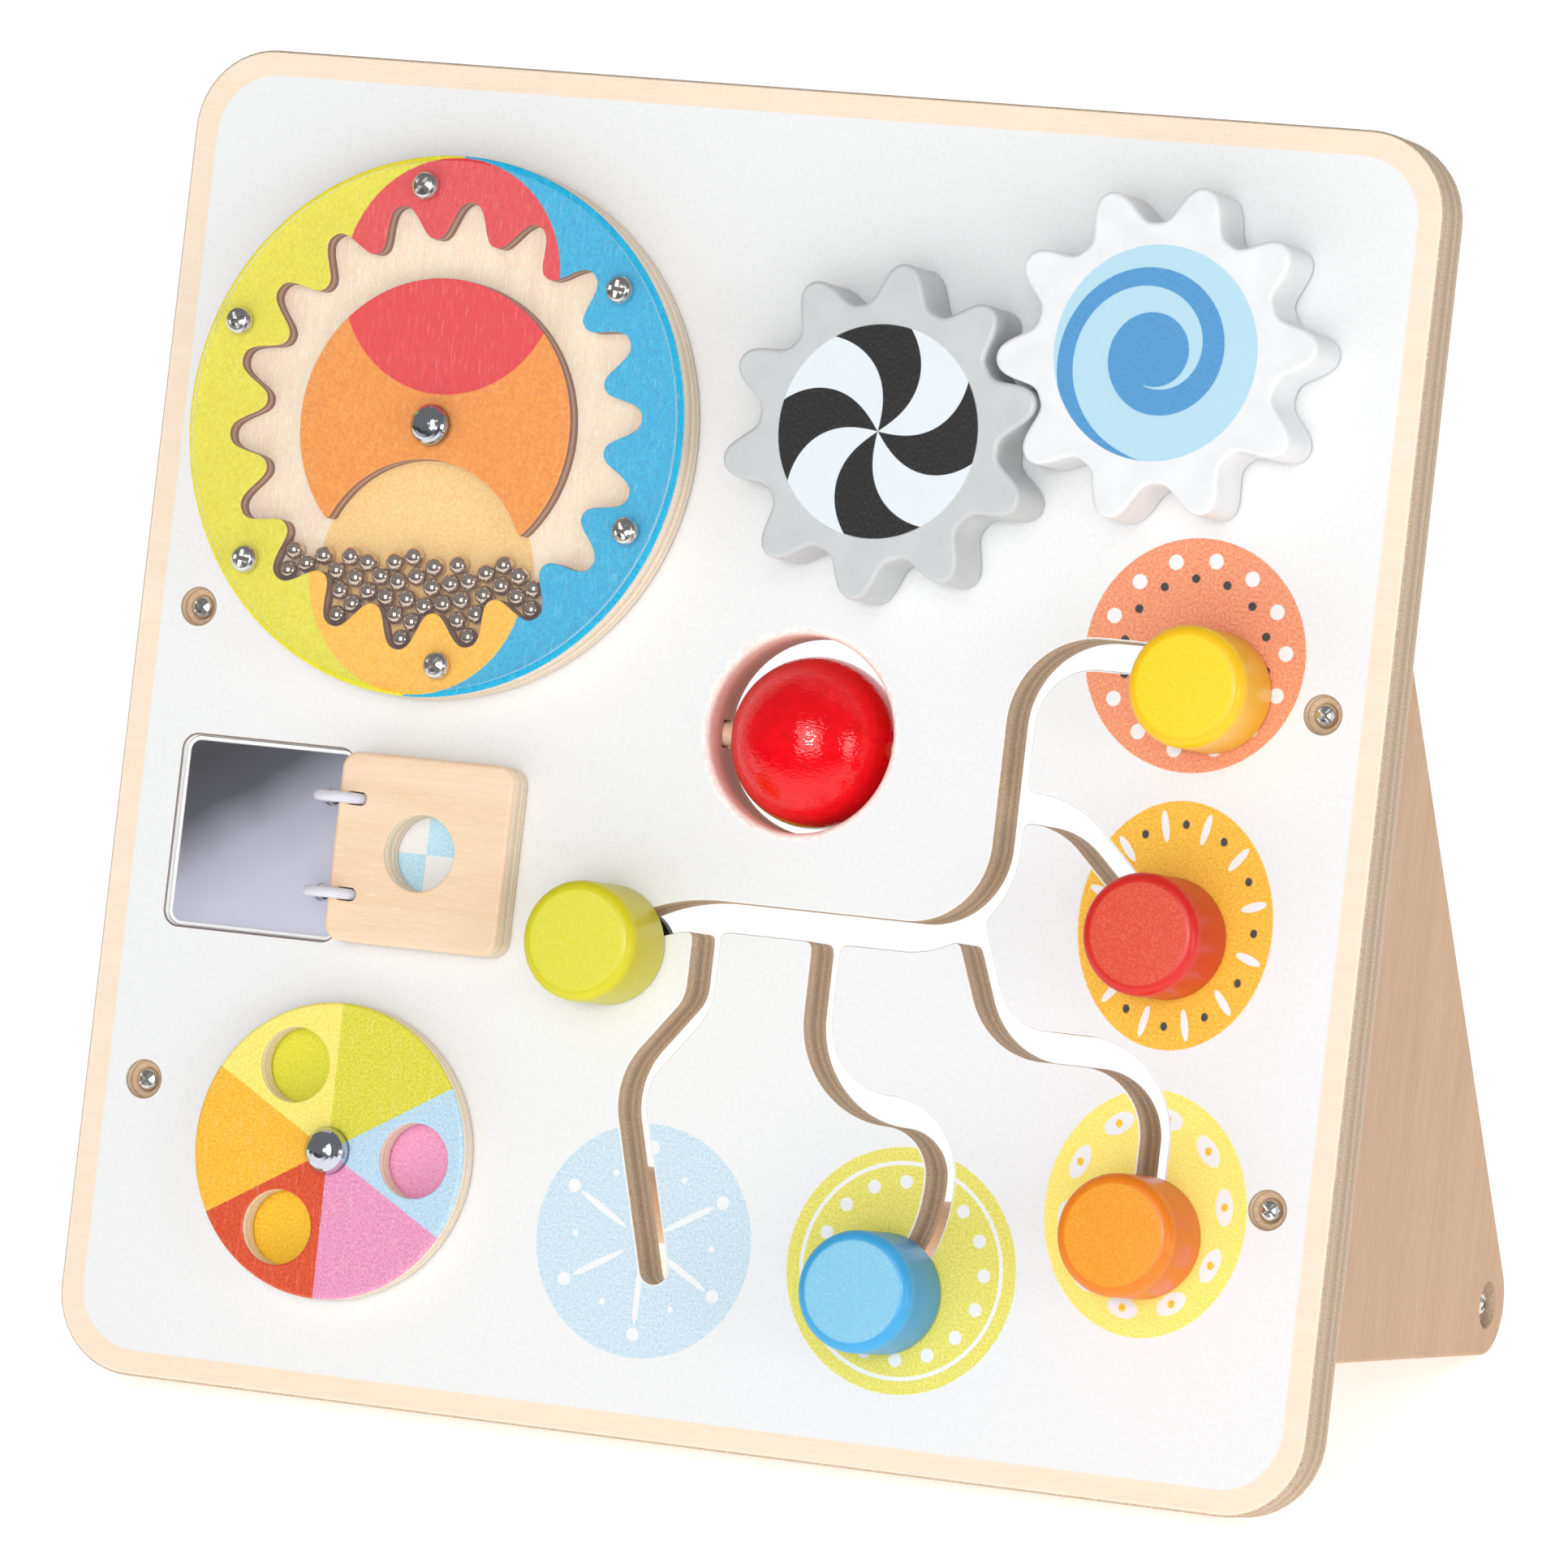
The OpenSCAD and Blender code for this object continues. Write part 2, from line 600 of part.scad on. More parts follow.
module at_spinner(z) {
    translate([spinner_at[0], spinner_at[1], z]) children();
}
module spinner_disc() {
    color("gold") at_spinner(face_gap) difference() {
        cylinder(d = spinner_d, h = spinner_t, $fn = 96);
        translate([0, 0, -over]) {
            cylinder(r = bolt_d / 2 + run_fit, h = spinner_t + 2 * over);
            for (k = [0:spinner_hole_count - 1]) rotate(360 * k / spinner_hole_count)
                translate([spinner_hole_r, 0, 0])
                    cylinder(d = spinner_hole_d, h = spinner_t + 2 * over);
        }
    }
}
module spinner_bolt() {
    color("silver") at_spinner(0)
        domed_bolt(spinner_bolt_head_d, spinner_bolt_head_h, spinner_head_z);
}
module spinner_washers() {
    color("gray") at_spinner(0) bolt_washers();
}
module spinner_nut() {
    color("gray") at_spinner(0) bolt_nut();
}

// ---- Gears: each turns with its pin, which a washer and a screw hold behind the board ----

gear_pin_end_z = back_z - face_gap;
// Half a pitch past the grey gear's tooth, seen from the white gear, puts the pair in mesh
mesh_phase = 2 * gear_line + 180 + 180 / tooth_count - tooth_phase;
module gear(p, phase) {
    translate([p[0], p[1], face_gap]) difference() {
        linear_extrude(gear_t)
            wave_outline(tooth_count, tooth_root_r, tooth_tip_r, phase, 0.15, 16);
        translate([0, 0, -over]) cylinder(r = gear_pin_d / 2 + hold_fit, h = gear_pin_seat + over);
    }
}
module grey_gear() {
    color("silver") gear(grey_gear_at, tooth_phase);
}
module white_gear() {
    color("white") gear(white_gear_at, mesh_phase);
}
module gear_pin(p) {
    color("burlywood") translate([p[0], p[1], gear_pin_end_z]) difference() {
        cylinder(d = gear_pin_d, h = face_gap + gear_pin_seat - gear_pin_end_z);
        translate([0, 0, -over])
            cylinder(r = small_screw_d / 2 + hold_fit, h = small_screw_l - gear_washer_t + over);
    }
}
module gear_spacers() {
    color("gray") for (p = [grey_gear_at, white_gear_at]) translate([p[0], p[1], 0]) difference() {
        cylinder(d = gear_washer_d, h = washer_t);
        translate([0, 0, -over]) cylinder(r = gear_pin_d / 2 + run_fit, h = washer_t + 2 * over);
    }
}
module gear_washer(p) {
    color("silver") translate([p[0], p[1], gear_pin_end_z - gear_washer_t]) difference() {
        cylinder(d = gear_washer_d, h = gear_washer_t);
        translate([0, 0, -over])
            cylinder(r = small_screw_d / 2 + hold_fit, h = gear_washer_t + 2 * over);
    }
}
module gear_screw(p) {
    color("silver") translate([p[0], p[1], gear_pin_end_z - gear_washer_t])
        rotate([180, 0, 0]) small_screw();
}

// ---- Rolling ball: it turns on an axle that lies in a groove behind the board ----

axle_half = ball_hole_d / 2 + ball_axle_seat;
keeper_x = ball_hole_d / 2 + keeper_w / 2 + slack;
function keeper_screw_spots() = [for (side = [-1, 1]) for (end = [-1, 1])
    [ball_at[0] + side * keeper_x, ball_at[1] + end * keeper_screw_reach]];
module axle_groove() {
    w = ball_axle_d + 2 * slack;
    translate([ball_at[0] - axle_half - hold_fit, ball_at[1] - w / 2, back_z - over])
        cube([2 * (axle_half + hold_fit), w, over + board_t - ball_depth + ball_axle_d / 2 + hold_fit]);
}
module rolling_ball() {
    color("crimson") translate([ball_at[0], ball_at[1], -ball_depth]) difference() {
        sphere(d = ball_d, $fn = 96);
        rotate([0, 90, 0]) cylinder(r = ball_axle_d / 2 + run_fit, h = 2 * ball_d, center = true);
    }
}
module ball_axle() {
    color("burlywood") translate([ball_at[0], ball_at[1], -ball_depth]) rotate([0, 90, 0])
        cylinder(d = ball_axle_d, h = 2 * axle_half, center = true);
}
module axle_keepers() {
    color("tan") for (side = [-1, 1])
        translate([ball_at[0] + side * keeper_x, ball_at[1], back_z - keeper_t]) difference() {
            translate([-keeper_w / 2, -keeper_h / 2, 0]) cube([keeper_w, keeper_h, keeper_t]);
            for (end = [-1, 1]) translate([0, end * keeper_screw_reach, -over])
                cylinder(r = small_screw_d / 2 + hold_fit, h = keeper_t + 2 * over);
        }
}
module keeper_screws() {
    color("silver") for (p = keeper_screw_spots())
        translate([p[0], p[1], back_z - keeper_t]) rotate([180, 0, 0]) small_screw();
}

// ---- Mirror and flap ----

// Both legs of both hinge loops, as round holes of radius r through the board
module loop_holes(r) {
    for (end = [-1, 1]) for (side = [-1, 1])
        board_bore([hinge_x + side * loop_r, recess_at[1] + end * loop_reach], r);
}
module mirror_plate() {
    color("lightsteelblue") difference() {
        translate([recess_at[0], recess_at[1], -recess_depth]) linear_extrude(mirror_t)
            rounded_rect(recess_w - 2 * seat_gap, recess_h - 2 * seat_gap, recess_r - seat_gap);
        loop_holes(loop_d / 2 + 3 * seat_gap);
    }
}
module mirror_flap() {
    // The slots clear a loop's straight legs and the arc of its top
    inner = sqrt(pow(loop_r - loop_d / 2, 2) - pow(flap_t / 2, 2)) - seat_gap;
    outer = loop_r + loop_d / 2 + seat_gap;
    flap_x = hinge_x + seat_gap + flap_w / 2;
    color("burlywood") difference() {
        translate([flap_x, recess_at[1], flap_gap]) linear_extrude(flap_t)
            rounded_rect(flap_w, flap_w, flap_r);
        translate([flap_x, recess_at[1], flap_gap - over])
            cylinder(d = flap_hole_d, h = flap_t + 2 * over);
        for (end = [-1, 1])
            translate([hinge_x + inner, recess_at[1] + end * loop_reach - loop_d / 2 - seat_gap,
                flap_gap - over]) cube([outer - inner, loop_d + 2 * seat_gap, flap_t + 2 * over]);
    }
}
// A closed cord loop: a round top about the hinge line, straight legs through the board
// and a round back
module hinge_loop(end) {
    turn_z = back_z + loop_turn;
    color("gainsboro") translate([hinge_x, recess_at[1] + end * loop_reach, 0]) {
        translate([0, 0, hinge_z]) rotate([90, 0, 0])
            rotate_extrude(angle = 180) translate([loop_r, 0]) circle(d = loop_d, $fn = 24);
        for (side = [-1, 1]) translate([side * loop_r, 0, turn_z])
            cylinder(d = loop_d, h = hinge_z - turn_z, $fn = 24);
        translate([0, 0, turn_z]) rotate([90, 180, 0])
            rotate_extrude(angle = 180) translate([loop_r, 0]) circle(d = loop_d, $fn = 24);
    }
}

// ---- Knobs: each is a cap on a peg, with a disc and a screw behind the board ----

knob_colours = ["yellowgreen", "gold", "tomato", "darkorange", "skyblue"];
module at_home(i, z) {
    translate([knob_homes[i][0], knob_homes[i][1], z]) children();
}
module knob(i) {
    color(knob_colours[i]) at_home(i, knob_gap) difference() {
        rotate_extrude() polygon(concat([[0, 0], [knob_d / 2, 0]],
            [for (a = [0:15:90]) [knob_d / 2 - knob_rim_r + knob_rim_r * cos(a),
                knob_h - knob_rim_r + knob_rim_r * sin(a)]], [[0, knob_h]]));
        translate([0, 0, -over]) cylinder(r = peg_d / 2 + hold_fit, h = peg_seat + over);
    }
}
module peg(i) {
    color("burlywood") at_home(i, retainer_z) difference() {
        cylinder(d = peg_d, h = knob_gap + peg_seat - retainer_z);
        translate([0, 0, -over])
            cylinder(r = small_screw_d / 2 + hold_fit, h = small_screw_l - retainer_t + over);
    }
}
module retainer(i) {
    color("dimgray") at_home(i, retainer_z - retainer_t) difference() {
        cylinder(d = retainer_d, h = retainer_t);
        translate([0, 0, -over]) cylinder(r = small_screw_d / 2 + hold_fit, h = retainer_t + 2 * over);
    }
}
module knob_screw(i) {
    color("silver") at_home(i, retainer_z - retainer_t) rotate([180, 0, 0]) small_screw();
}

stand_up() board();
stand_up() side_panel(-1);  // left_side_panel
stand_up() side_panel(1);  // right_side_panel
stand_up() rear_crossbar();
stand_up() panel_screws();
stand_up() crossbar_screws();
stand_up() drum_base();
stand_up() drum_ring();
stand_up() drum_hub();
stand_up() steel_balls();
stand_up() drum_cover();
stand_up() drum_cover_screws();
stand_up() drum_bolt();
stand_up() drum_washers();
stand_up() drum_nut();
stand_up() spinner_disc();
stand_up() spinner_bolt();
stand_up() spinner_washers();
stand_up() spinner_nut();
stand_up() grey_gear();
stand_up() white_gear();
stand_up() gear_pin(grey_gear_at);  // grey_gear_pin
stand_up() gear_pin(white_gear_at);  // white_gear_pin
stand_up() gear_spacers();
stand_up() gear_washer(grey_gear_at);  // grey_gear_washer
stand_up() gear_washer(white_gear_at);  // white_gear_washer
stand_up() gear_screw(grey_gear_at);  // grey_gear_screw
stand_up() gear_screw(white_gear_at);  // white_gear_screw
stand_up() rolling_ball();
stand_up() ball_axle();
stand_up() axle_keepers();
stand_up() keeper_screws();
stand_up() mirror_plate();
stand_up() mirror_flap();
stand_up() hinge_loop(1);  // upper_hinge_loop
stand_up() hinge_loop(-1);  // lower_hinge_loop
stand_up() knob(0);  // lime_knob
stand_up() peg(0);  // lime_peg
stand_up() retainer(0);  // lime_retainer
stand_up() knob_screw(0);  // lime_screw
stand_up() knob(1);  // yellow_knob
stand_up() peg(1);  // yellow_peg
stand_up() retainer(1);  // yellow_retainer
stand_up() knob_screw(1);  // yellow_screw
stand_up() knob(2);  // red_knob
stand_up() peg(2);  // red_peg
stand_up() retainer(2);  // red_retainer
stand_up() knob_screw(2);  // red_screw
stand_up() knob(3);  // orange_knob
stand_up() peg(3);  // orange_peg
stand_up() retainer(3);  // orange_retainer
stand_up() knob_screw(3);  // orange_screw
stand_up() knob(4);  // blue_knob
stand_up() peg(4);  // blue_peg
stand_up() retainer(4);  // blue_retainer
stand_up() knob_screw(4);  // blue_screw
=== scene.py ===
# Wooden busy board: the detailed pieces, finishes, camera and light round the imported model.
# Lengths in the dictionaries are millimetres in the board's own frame: x to the right,
# y up along the board and z out of its front face, from the middle of its lower front edge.
import json
import math

import bpy
import numpy as np
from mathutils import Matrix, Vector
from mathutils.geometry import tessellate_polygon


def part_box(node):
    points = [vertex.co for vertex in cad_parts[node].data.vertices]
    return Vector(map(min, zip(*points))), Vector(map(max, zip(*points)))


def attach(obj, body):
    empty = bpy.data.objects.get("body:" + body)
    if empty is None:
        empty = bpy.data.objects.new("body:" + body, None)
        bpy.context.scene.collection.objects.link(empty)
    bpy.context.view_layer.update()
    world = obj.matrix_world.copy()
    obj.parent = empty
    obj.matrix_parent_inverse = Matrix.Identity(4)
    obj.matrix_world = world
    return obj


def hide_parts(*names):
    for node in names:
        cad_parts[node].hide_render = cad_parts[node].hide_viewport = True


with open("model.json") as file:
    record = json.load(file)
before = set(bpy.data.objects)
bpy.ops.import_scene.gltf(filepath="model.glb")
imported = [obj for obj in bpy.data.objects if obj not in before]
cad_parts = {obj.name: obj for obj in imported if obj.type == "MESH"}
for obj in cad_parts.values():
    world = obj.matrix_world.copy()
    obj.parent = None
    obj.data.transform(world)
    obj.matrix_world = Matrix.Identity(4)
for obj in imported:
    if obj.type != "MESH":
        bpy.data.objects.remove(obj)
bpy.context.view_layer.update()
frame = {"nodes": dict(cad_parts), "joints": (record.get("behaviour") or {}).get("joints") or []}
scene = bpy.context.scene
nodes = frame["nodes"]
joints = {joint["name"]: joint for joint in frame["joints"]}


# The board's frame, from the joints that stand on it

drumHome = (-88.0, 247.0, 0.0)  # the drum's bolt at the board's front face
outAxis = np.array(joints["drum_turn"]["axis"], float)
outAxis /= np.linalg.norm(outAxis)
upAxis = np.array(joints["orange_slider_run"]["axis"], float)
upAxis /= np.linalg.norm(upAxis)
boardAxes = np.stack([np.cross(upAxis, outAxis), upAxis, outAxis])
boardOrigin = np.array(joints["drum_turn"]["pos_m"], float) - np.array(drumHome) / 1000 @ boardAxes


def toWorld(points):  # board millimetres to metres in the model's frame
    return boardOrigin + np.asarray(points, float) / 1000 @ boardAxes


def toBoard(place):  # metres in the model's frame to board millimetres
    return (np.asarray(place, float) - boardOrigin) @ boardAxes.T * 1000


drumAt = toBoard(joints["drum_turn"]["pos_m"])
spinnerAt = toBoard(joints["spinner_turn"]["pos_m"])
greyGearAt = toBoard(joints["grey_gear_turn"]["pos_m"])
whiteGearAt = toBoard(joints["white_gear_turn"]["pos_m"])
ballAt = toBoard(joints["ball_roll"]["pos_m"])


# Camera and light

cameraSet = {"place": (1.02233, -2.31534, 0.79357), "turn": (76.347, 0.359, 23.759), "lens": 237.64,
             "sensor": 36, "shiftUp": -0.0600, "sightEnd": 50}
# A lamp's bearing is degrees round from the front to the right, degrees up, and metres away
lightSet = {
    "sky": 0.36, "skyMirrored": 0.2, "floorGlow": 0.52, "target": (0.0, 0.0, 0.16),
    "keyLight": {"bearing": (12.4, 19.5, 3.3), "size": (1.8, 2.3), "energy": 38.5},
    "keyWindow": {"bearing": (12.4, 19.5, 3.15), "size": (0.2, 0.26), "energy": 14.0},
    "sideLight": {"bearing": (66.0, 6.0, 2.3), "size": (0.6, 0.9), "energy": 7.0},
}


def softLight(name, bearing, size, energy):  # a rectangular lamp that faces the board
    data = bpy.data.lights.new(name, "AREA")
    data.shape = "RECTANGLE"
    data.size, data.size_y = size
    data.energy = energy
    lamp = bpy.data.objects.new(name, data)
    turn, up = (math.radians(angle) for angle in bearing[:2])
    away = Vector((math.sin(turn) * math.cos(up), -math.cos(turn) * math.cos(up), math.sin(up)))
    target = Vector(lightSet["target"])
    lamp.location = target + away * bearing[2]
    lamp.rotation_euler = (target - lamp.location).to_track_quat("-Z", "Y").to_euler()
    scene.collection.objects.link(lamp)


cameraData = bpy.data.cameras.new("camera")
cameraData.lens = cameraSet["lens"]
cameraData.sensor_width = cameraSet["sensor"]
cameraData.shift_y = cameraSet["shiftUp"]
cameraData.clip_end = cameraSet["sightEnd"]
camera = bpy.data.objects.new("camera", cameraData)
camera.location = cameraSet["place"]
camera.rotation_euler = [math.radians(angle) for angle in cameraSet["turn"]]
scene.collection.objects.link(camera)
scene.camera = camera
scene.view_settings.view_transform = "Standard"

world = bpy.data.worlds.new("studio")
world.use_nodes = True
world.node_tree.nodes["Background"].inputs["Color"].default_value = (1, 1, 1, 1)
studio = world.node_tree.nodes["Background"].inputs["Strength"]
strength = world.node_tree.nodes.new("ShaderNodeMapRange")  # reflections see a darker room
strength.inputs["To Min"].default_value = lightSet["sky"]
strength.inputs["To Max"].default_value = lightSet["skyMirrored"]
rays = world.node_tree.nodes.new("ShaderNodeLightPath")
world.node_tree.links.new(rays.outputs["Is Glossy Ray"], strength.inputs["Value"])
world.node_tree.links.new(strength.outputs[0], studio)
scene.world = world
for name in ("keyLight", "keyWindow", "sideLight"):
    softLight(name, **lightSet[name])
print("camera and lights set")


# Finishes: a small helper that adds nodes and links them

def tint(red, green, blue):  # a paint colour in 0 to 255 as Blender's linear colour
    value = np.array([red, green, blue]) / 255
    linear = np.where(value <= 0.04045, value / 12.92, ((value + 0.055) / 1.055) ** 2.4)
    return (*linear.tolist(), 1.0)


class Finish:
    # One material. Each call adds one node, feeds its inputs and gives back its output.
    def __init__(self, name, roughness, coat=0.0, coatRoughness=0.1, metallic=0.0):
        self.material = bpy.data.materials.new(name)
        self.material.use_nodes = True
        self.tree = self.material.node_tree
        self.shader = self.tree.nodes["Principled BSDF"]
        self.shader.inputs["Roughness"].default_value = roughness
        self.shader.inputs["Metallic"].default_value = metallic
        self.shader.inputs["Coat Weight"].default_value = coat
        self.shader.inputs["Coat Roughness"].default_value = coatRoughness
        self.place = self.tree.nodes.new("ShaderNodeTexCoord").outputs["Object"]

    def feed(self, socket, value):
        if isinstance(value, bpy.types.NodeSocket):
            self.tree.links.new(value, socket)
        elif value is not None:
            socket.default_value = value

    def calc(self, operation, first, second=None, third=None):
        node = self.tree.nodes.new("ShaderNodeMath")
        node.operation = operation
        for socket, value in zip(node.inputs, (first, second, third)):
            self.feed(socket, value)
        return node.outputs[0]

    def vector(self, operation, first, second=None, output=0):
        node = self.tree.nodes.new("ShaderNodeVectorMath")
        node.operation = operation
        self.feed(node.inputs[0], first)
        self.feed(node.inputs[1], second)
        return node.outputs[output]

    def mapped(self, source, move=(0, 0, 0), turn=(0, 0, 0), scale=(1, 1, 1)):
        node = self.tree.nodes.new("ShaderNodeMapping")
        self.feed(node.inputs["Vector"], source)
        node.inputs["Location"].default_value = move
        node.inputs["Rotation"].default_value = [math.radians(angle) for angle in turn]
        node.inputs["Scale"].default_value = scale
        return node.outputs[0]

    def onBoard(self, centre=(0, 0, 0)):  # board millimetres, measured from a centre
        tilt = -math.degrees(math.atan2(boardAxes[1][2], boardAxes[1][1]))
        move = -1000 * boardAxes @ boardOrigin - np.array(centre, float)
        return self.mapped(self.place, move.tolist(), (tilt, 0, 0), (1000, 1000, 1000))

    def flat(self, source):  # drops the depth, so a print runs straight through a rounded edge
        return self.vector("MULTIPLY", source, (1, 1, 0))

    def split(self, source):
        node = self.tree.nodes.new("ShaderNodeSeparateXYZ")
        self.feed(node.inputs[0], source)
        return node.outputs

    def join(self, x, y, z=0.0):
        node = self.tree.nodes.new("ShaderNodeCombineXYZ")
        for socket, value in zip(node.inputs, (x, y, z)):
            self.feed(socket, value)
        return node.outputs[0]

    def noise(self, source, scale=1.0, detail=2.0, roughness=0.5, distortion=0.0):
        node = self.tree.nodes.new("ShaderNodeTexNoise")
        self.feed(node.inputs["Vector"], source)
        for key, value in (("Scale", scale), ("Detail", detail), ("Roughness", roughness),
                           ("Distortion", distortion)):
            node.inputs[key].default_value = value
        return node.outputs["Fac"]

    def grade(self, value, low, high, toLow=0.0, toHigh=1.0):
        node = self.tree.nodes.new("ShaderNodeMapRange")
        for socket, item in zip(node.inputs, (value, low, high, toLow, toHigh)):
            self.feed(socket, item)
        return node.outputs[0]

    def ramp(self, value, stops):
        node = self.tree.nodes.new("ShaderNodeValToRGB")
        self.feed(node.inputs[0], value)
        band = node.color_ramp
        while len(band.elements) < len(stops):
            band.elements.new(1.0)
        for element, (at, colour) in zip(band.elements, stops):
            element.position = at
            element.color = colour
        return node.outputs[0]

    def mix(self, share, under, over, mode="MIX"):
        node = self.tree.nodes.new("ShaderNodeMix")
        node.data_type = "RGBA"
        node.blend_type = mode
        self.feed(node.inputs["Factor"], share)
        colours = [socket for socket in node.inputs if socket.type == "RGBA"]
        self.feed(colours[0], under)
        self.feed(colours[1], over)
        return [socket for socket in node.outputs if socket.type == "RGBA"][0]

    def inside(self, distance, blur=0.15):  # 1 where a signed distance in mm is below nought
        return self.grade(distance, blur, -blur)

    def below(self, value, limit, blur=0.15):  # 1 where a value in mm is under its limit
        return self.inside(self.calc("SUBTRACT", value, limit), blur)

    def line(self, value, middle, half, blur=0.15):  # 1 along a line on both sides of a middle value
        return self.below(self.calc("ABSOLUTE", self.calc("SUBTRACT", value, middle)), half, blur)

    def disc(self, source, x, y, radiusX, radiusY=None):
        radiusY = radiusY or radiusX
        local = self.mapped(source, (-x / radiusX, -y / radiusY, 0), (0, 0, 0),
                            (1 / radiusX, 1 / radiusY, 0))
        reach = self.vector("LENGTH", local, output=1)
        return self.inside(self.calc("MULTIPLY_ADD", reach, radiusX, -radiusX))

    def roundedRect(self, source, width, height, corner):  # signed distance to its outline
        past = []
        for across, size in zip(self.split(source)[:2], (width, height)):
            over = self.calc("SUBTRACT", self.calc("ABSOLUTE", across), size / 2 - corner)
            past.append(self.calc("MAXIMUM", over, 0.0))
        return self.calc("SUBTRACT", self.vector("LENGTH", self.join(*past), output=1), corner)

    def saturation(self, colour):
        node = self.tree.nodes.new("ShaderNodeSeparateColor")
        node.mode = "HSV"
        self.feed(node.inputs[0], colour)
        return node.outputs[1]

    def reach(self, source):  # distance from the centre across the face
        return self.vector("LENGTH", self.flat(source), output=1)

    def polar(self, source):  # radius and direction round the centre, in mm and radians
        x, y = self.split(source)[:2]
        return self.reach(source), self.calc("ARCTAN2", y, x)

    def sector(self, angle, start, width):  # how many sectors of a width, in degrees, lie past a start
        turned = self.calc("WRAP", self.calc("SUBTRACT", angle, math.radians(start)), 2 * math.pi, 0.0)
        return self.calc("DIVIDE", turned, math.radians(width))

    def repeated(self, source, count, phase=0.0):  # folds a pattern into one of its sectors
        radius, angle = self.polar(source)
        step = 2 * math.pi / count
        turned = self.calc("ADD", angle, -math.radians(phase))
        local = self.calc("WRAP", turned, step / 2, -step / 2)
        return self.join(self.calc("MULTIPLY", radius, self.calc("COSINE", local)),
                         self.calc("MULTIPLY", radius, self.calc("SINE", local)))

    def both(self, first, second):
        return self.calc("MULTIPLY", first, second)

    def speckled(self, colour, place, share, scale=1.5):  # fine pale and dark grains of a print
        grains = self.noise(place, scale, 2.0, 0.75)
        grey = self.ramp(grains, [(0.32, (0.0, 0.0, 0.0, 1.0)), (0.68, (1.0, 1.0, 1.0, 1.0))])
        return self.mix(share, colour, grey, "SOFT_LIGHT")

    def bump(self, height, strength, distance=0.0002):
        node = self.tree.nodes.new("ShaderNodeBump")
        node.inputs["Strength"].default_value = strength
        node.inputs["Distance"].default_value = distance
        self.feed(node.inputs["Height"], height)
        self.feed(self.shader.inputs["Normal"], node.outputs[0])

    def finish(self, colour, roughness=None):
        self.feed(self.shader.inputs["Base Color"], colour)
        if roughness is not None:
            self.feed(self.shader.inputs["Roughness"], roughness)
        return self.material


def grain(f, place, along, base, streak, fleck=0.5):
    # Wood face: slow bands and fine streaks stretched along the grain, with short pale flecks
    wide = {"x": (0.012, 0.16, 0.16), "y": (0.16, 0.012, 0.16)}[along]
    fine = {"x": (0.05, 1.5, 1.5), "y": (1.5, 0.05, 1.5)}[along]
    short = {"x": (0.28, 2.6, 2.6), "y": (2.6, 0.28, 2.6)}[along]
    bands = f.noise(f.mapped(place, scale=wide), 1.0, 3.0, 0.55, 0.6)
    lines = f.noise(f.mapped(place, scale=fine), 1.0, 3.0, 0.6, 0.3)
    flecks = f.noise(f.mapped(place, scale=short), 1.0, 1.0, 0.5)
    share = f.calc("ADD", f.grade(bands, 0.35, 0.7, 0.0, 0.55), f.grade(lines, 0.35, 0.7, 0.0, 0.45))
    colour = f.mix(share, base, streak)
    pale = tuple(min(1.0, part * 1.16) for part in base[:3]) + (1.0,)
    colour = f.mix(f.grade(flecks, 0.6, 0.7, 0.0, fleck), colour, pale)
    return colour, lines


def veneers(f, place, light, dark, depth):
    # Ply edge: pale and dark layers at fixed depths below the front face, their limits
    # wandering a little along the edge, with short fibres along the layers
    wander = f.noise(f.mapped(place, scale=(0.05, 0.05, 0.12)), 1.0, 2.0)
    level = f.calc("ADD", f.calc("MULTIPLY", f.split(place)[2], -1 / depth),
                   f.calc("MULTIPLY_ADD", wander, 0.05, -0.025))
    layers = [(0.0, 0.45), (0.09, 0.55), (0.19, 0.12), (0.32, 0.5), (0.45, 1.0), (0.53, 0.6), (0.61, 0.0),
              (0.7, 0.8), (0.77, 0.75), (0.87, 0.1), (1.0, 0.6)]
    share = f.ramp(level, [(at, (tone, tone, tone, 1.0)) for at, tone in layers])
    fibre = f.noise(f.mapped(place, scale=(0.7, 0.7, 5.0)), 1.0, 3.0, 0.6)
    colour = f.mix(share, light, dark)
    colour = f.mix(f.grade(fibre, 0.4, 0.7, 0.0, 0.6), colour, dark)
    return f.speckled(colour, place, 0.5, 1.8), fibre


# Building blocks: every mesh is worked out as whole arrays

def weld(points, faces, marks):  # joins coincident points and drops faces that collapse
    kept, index = np.unique(np.round(points, 4), axis=0, return_inverse=True)
    index = index.ravel()
    ring = [tuple(dict.fromkeys(index[list(face)].tolist())) for face in faces]
    good = [k for k, face in enumerate(ring) if len(face) > 2]
    return kept, [ring[k] for k in good], [marks[k] for k in good]


sharpEdge = 40.0  # degrees between two faces, past which their edge is drawn sharp


def addPiece(name, points, faces, marks, finishes, body, stands, slot):
    points, faces, marks = weld(np.asarray(points, float), faces, marks)
    mesh = bpy.data.meshes.new(name)
    mesh.from_pydata(toWorld(points).tolist(), [], faces)
    for finish in finishes:
        mesh.materials.append(finish)
    mesh.polygons.foreach_set("material_index", np.array(marks, np.int32))
    mesh.polygons.foreach_set("use_smooth", np.ones(len(faces), bool))
    mesh.update()
    mesh.set_sharp_from_angle(angle=math.radians(sharpEdge))
    piece = bpy.data.objects.new(name, mesh)
    scene.collection.objects.link(piece)
    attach(piece, body)
    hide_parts(*stands)


def circleLoop(x, y, radius, count=96):
    angle = np.arange(count) * 2 * np.pi / count
    return np.stack([x + radius * np.cos(angle), y + radius * np.sin(angle)], 1)


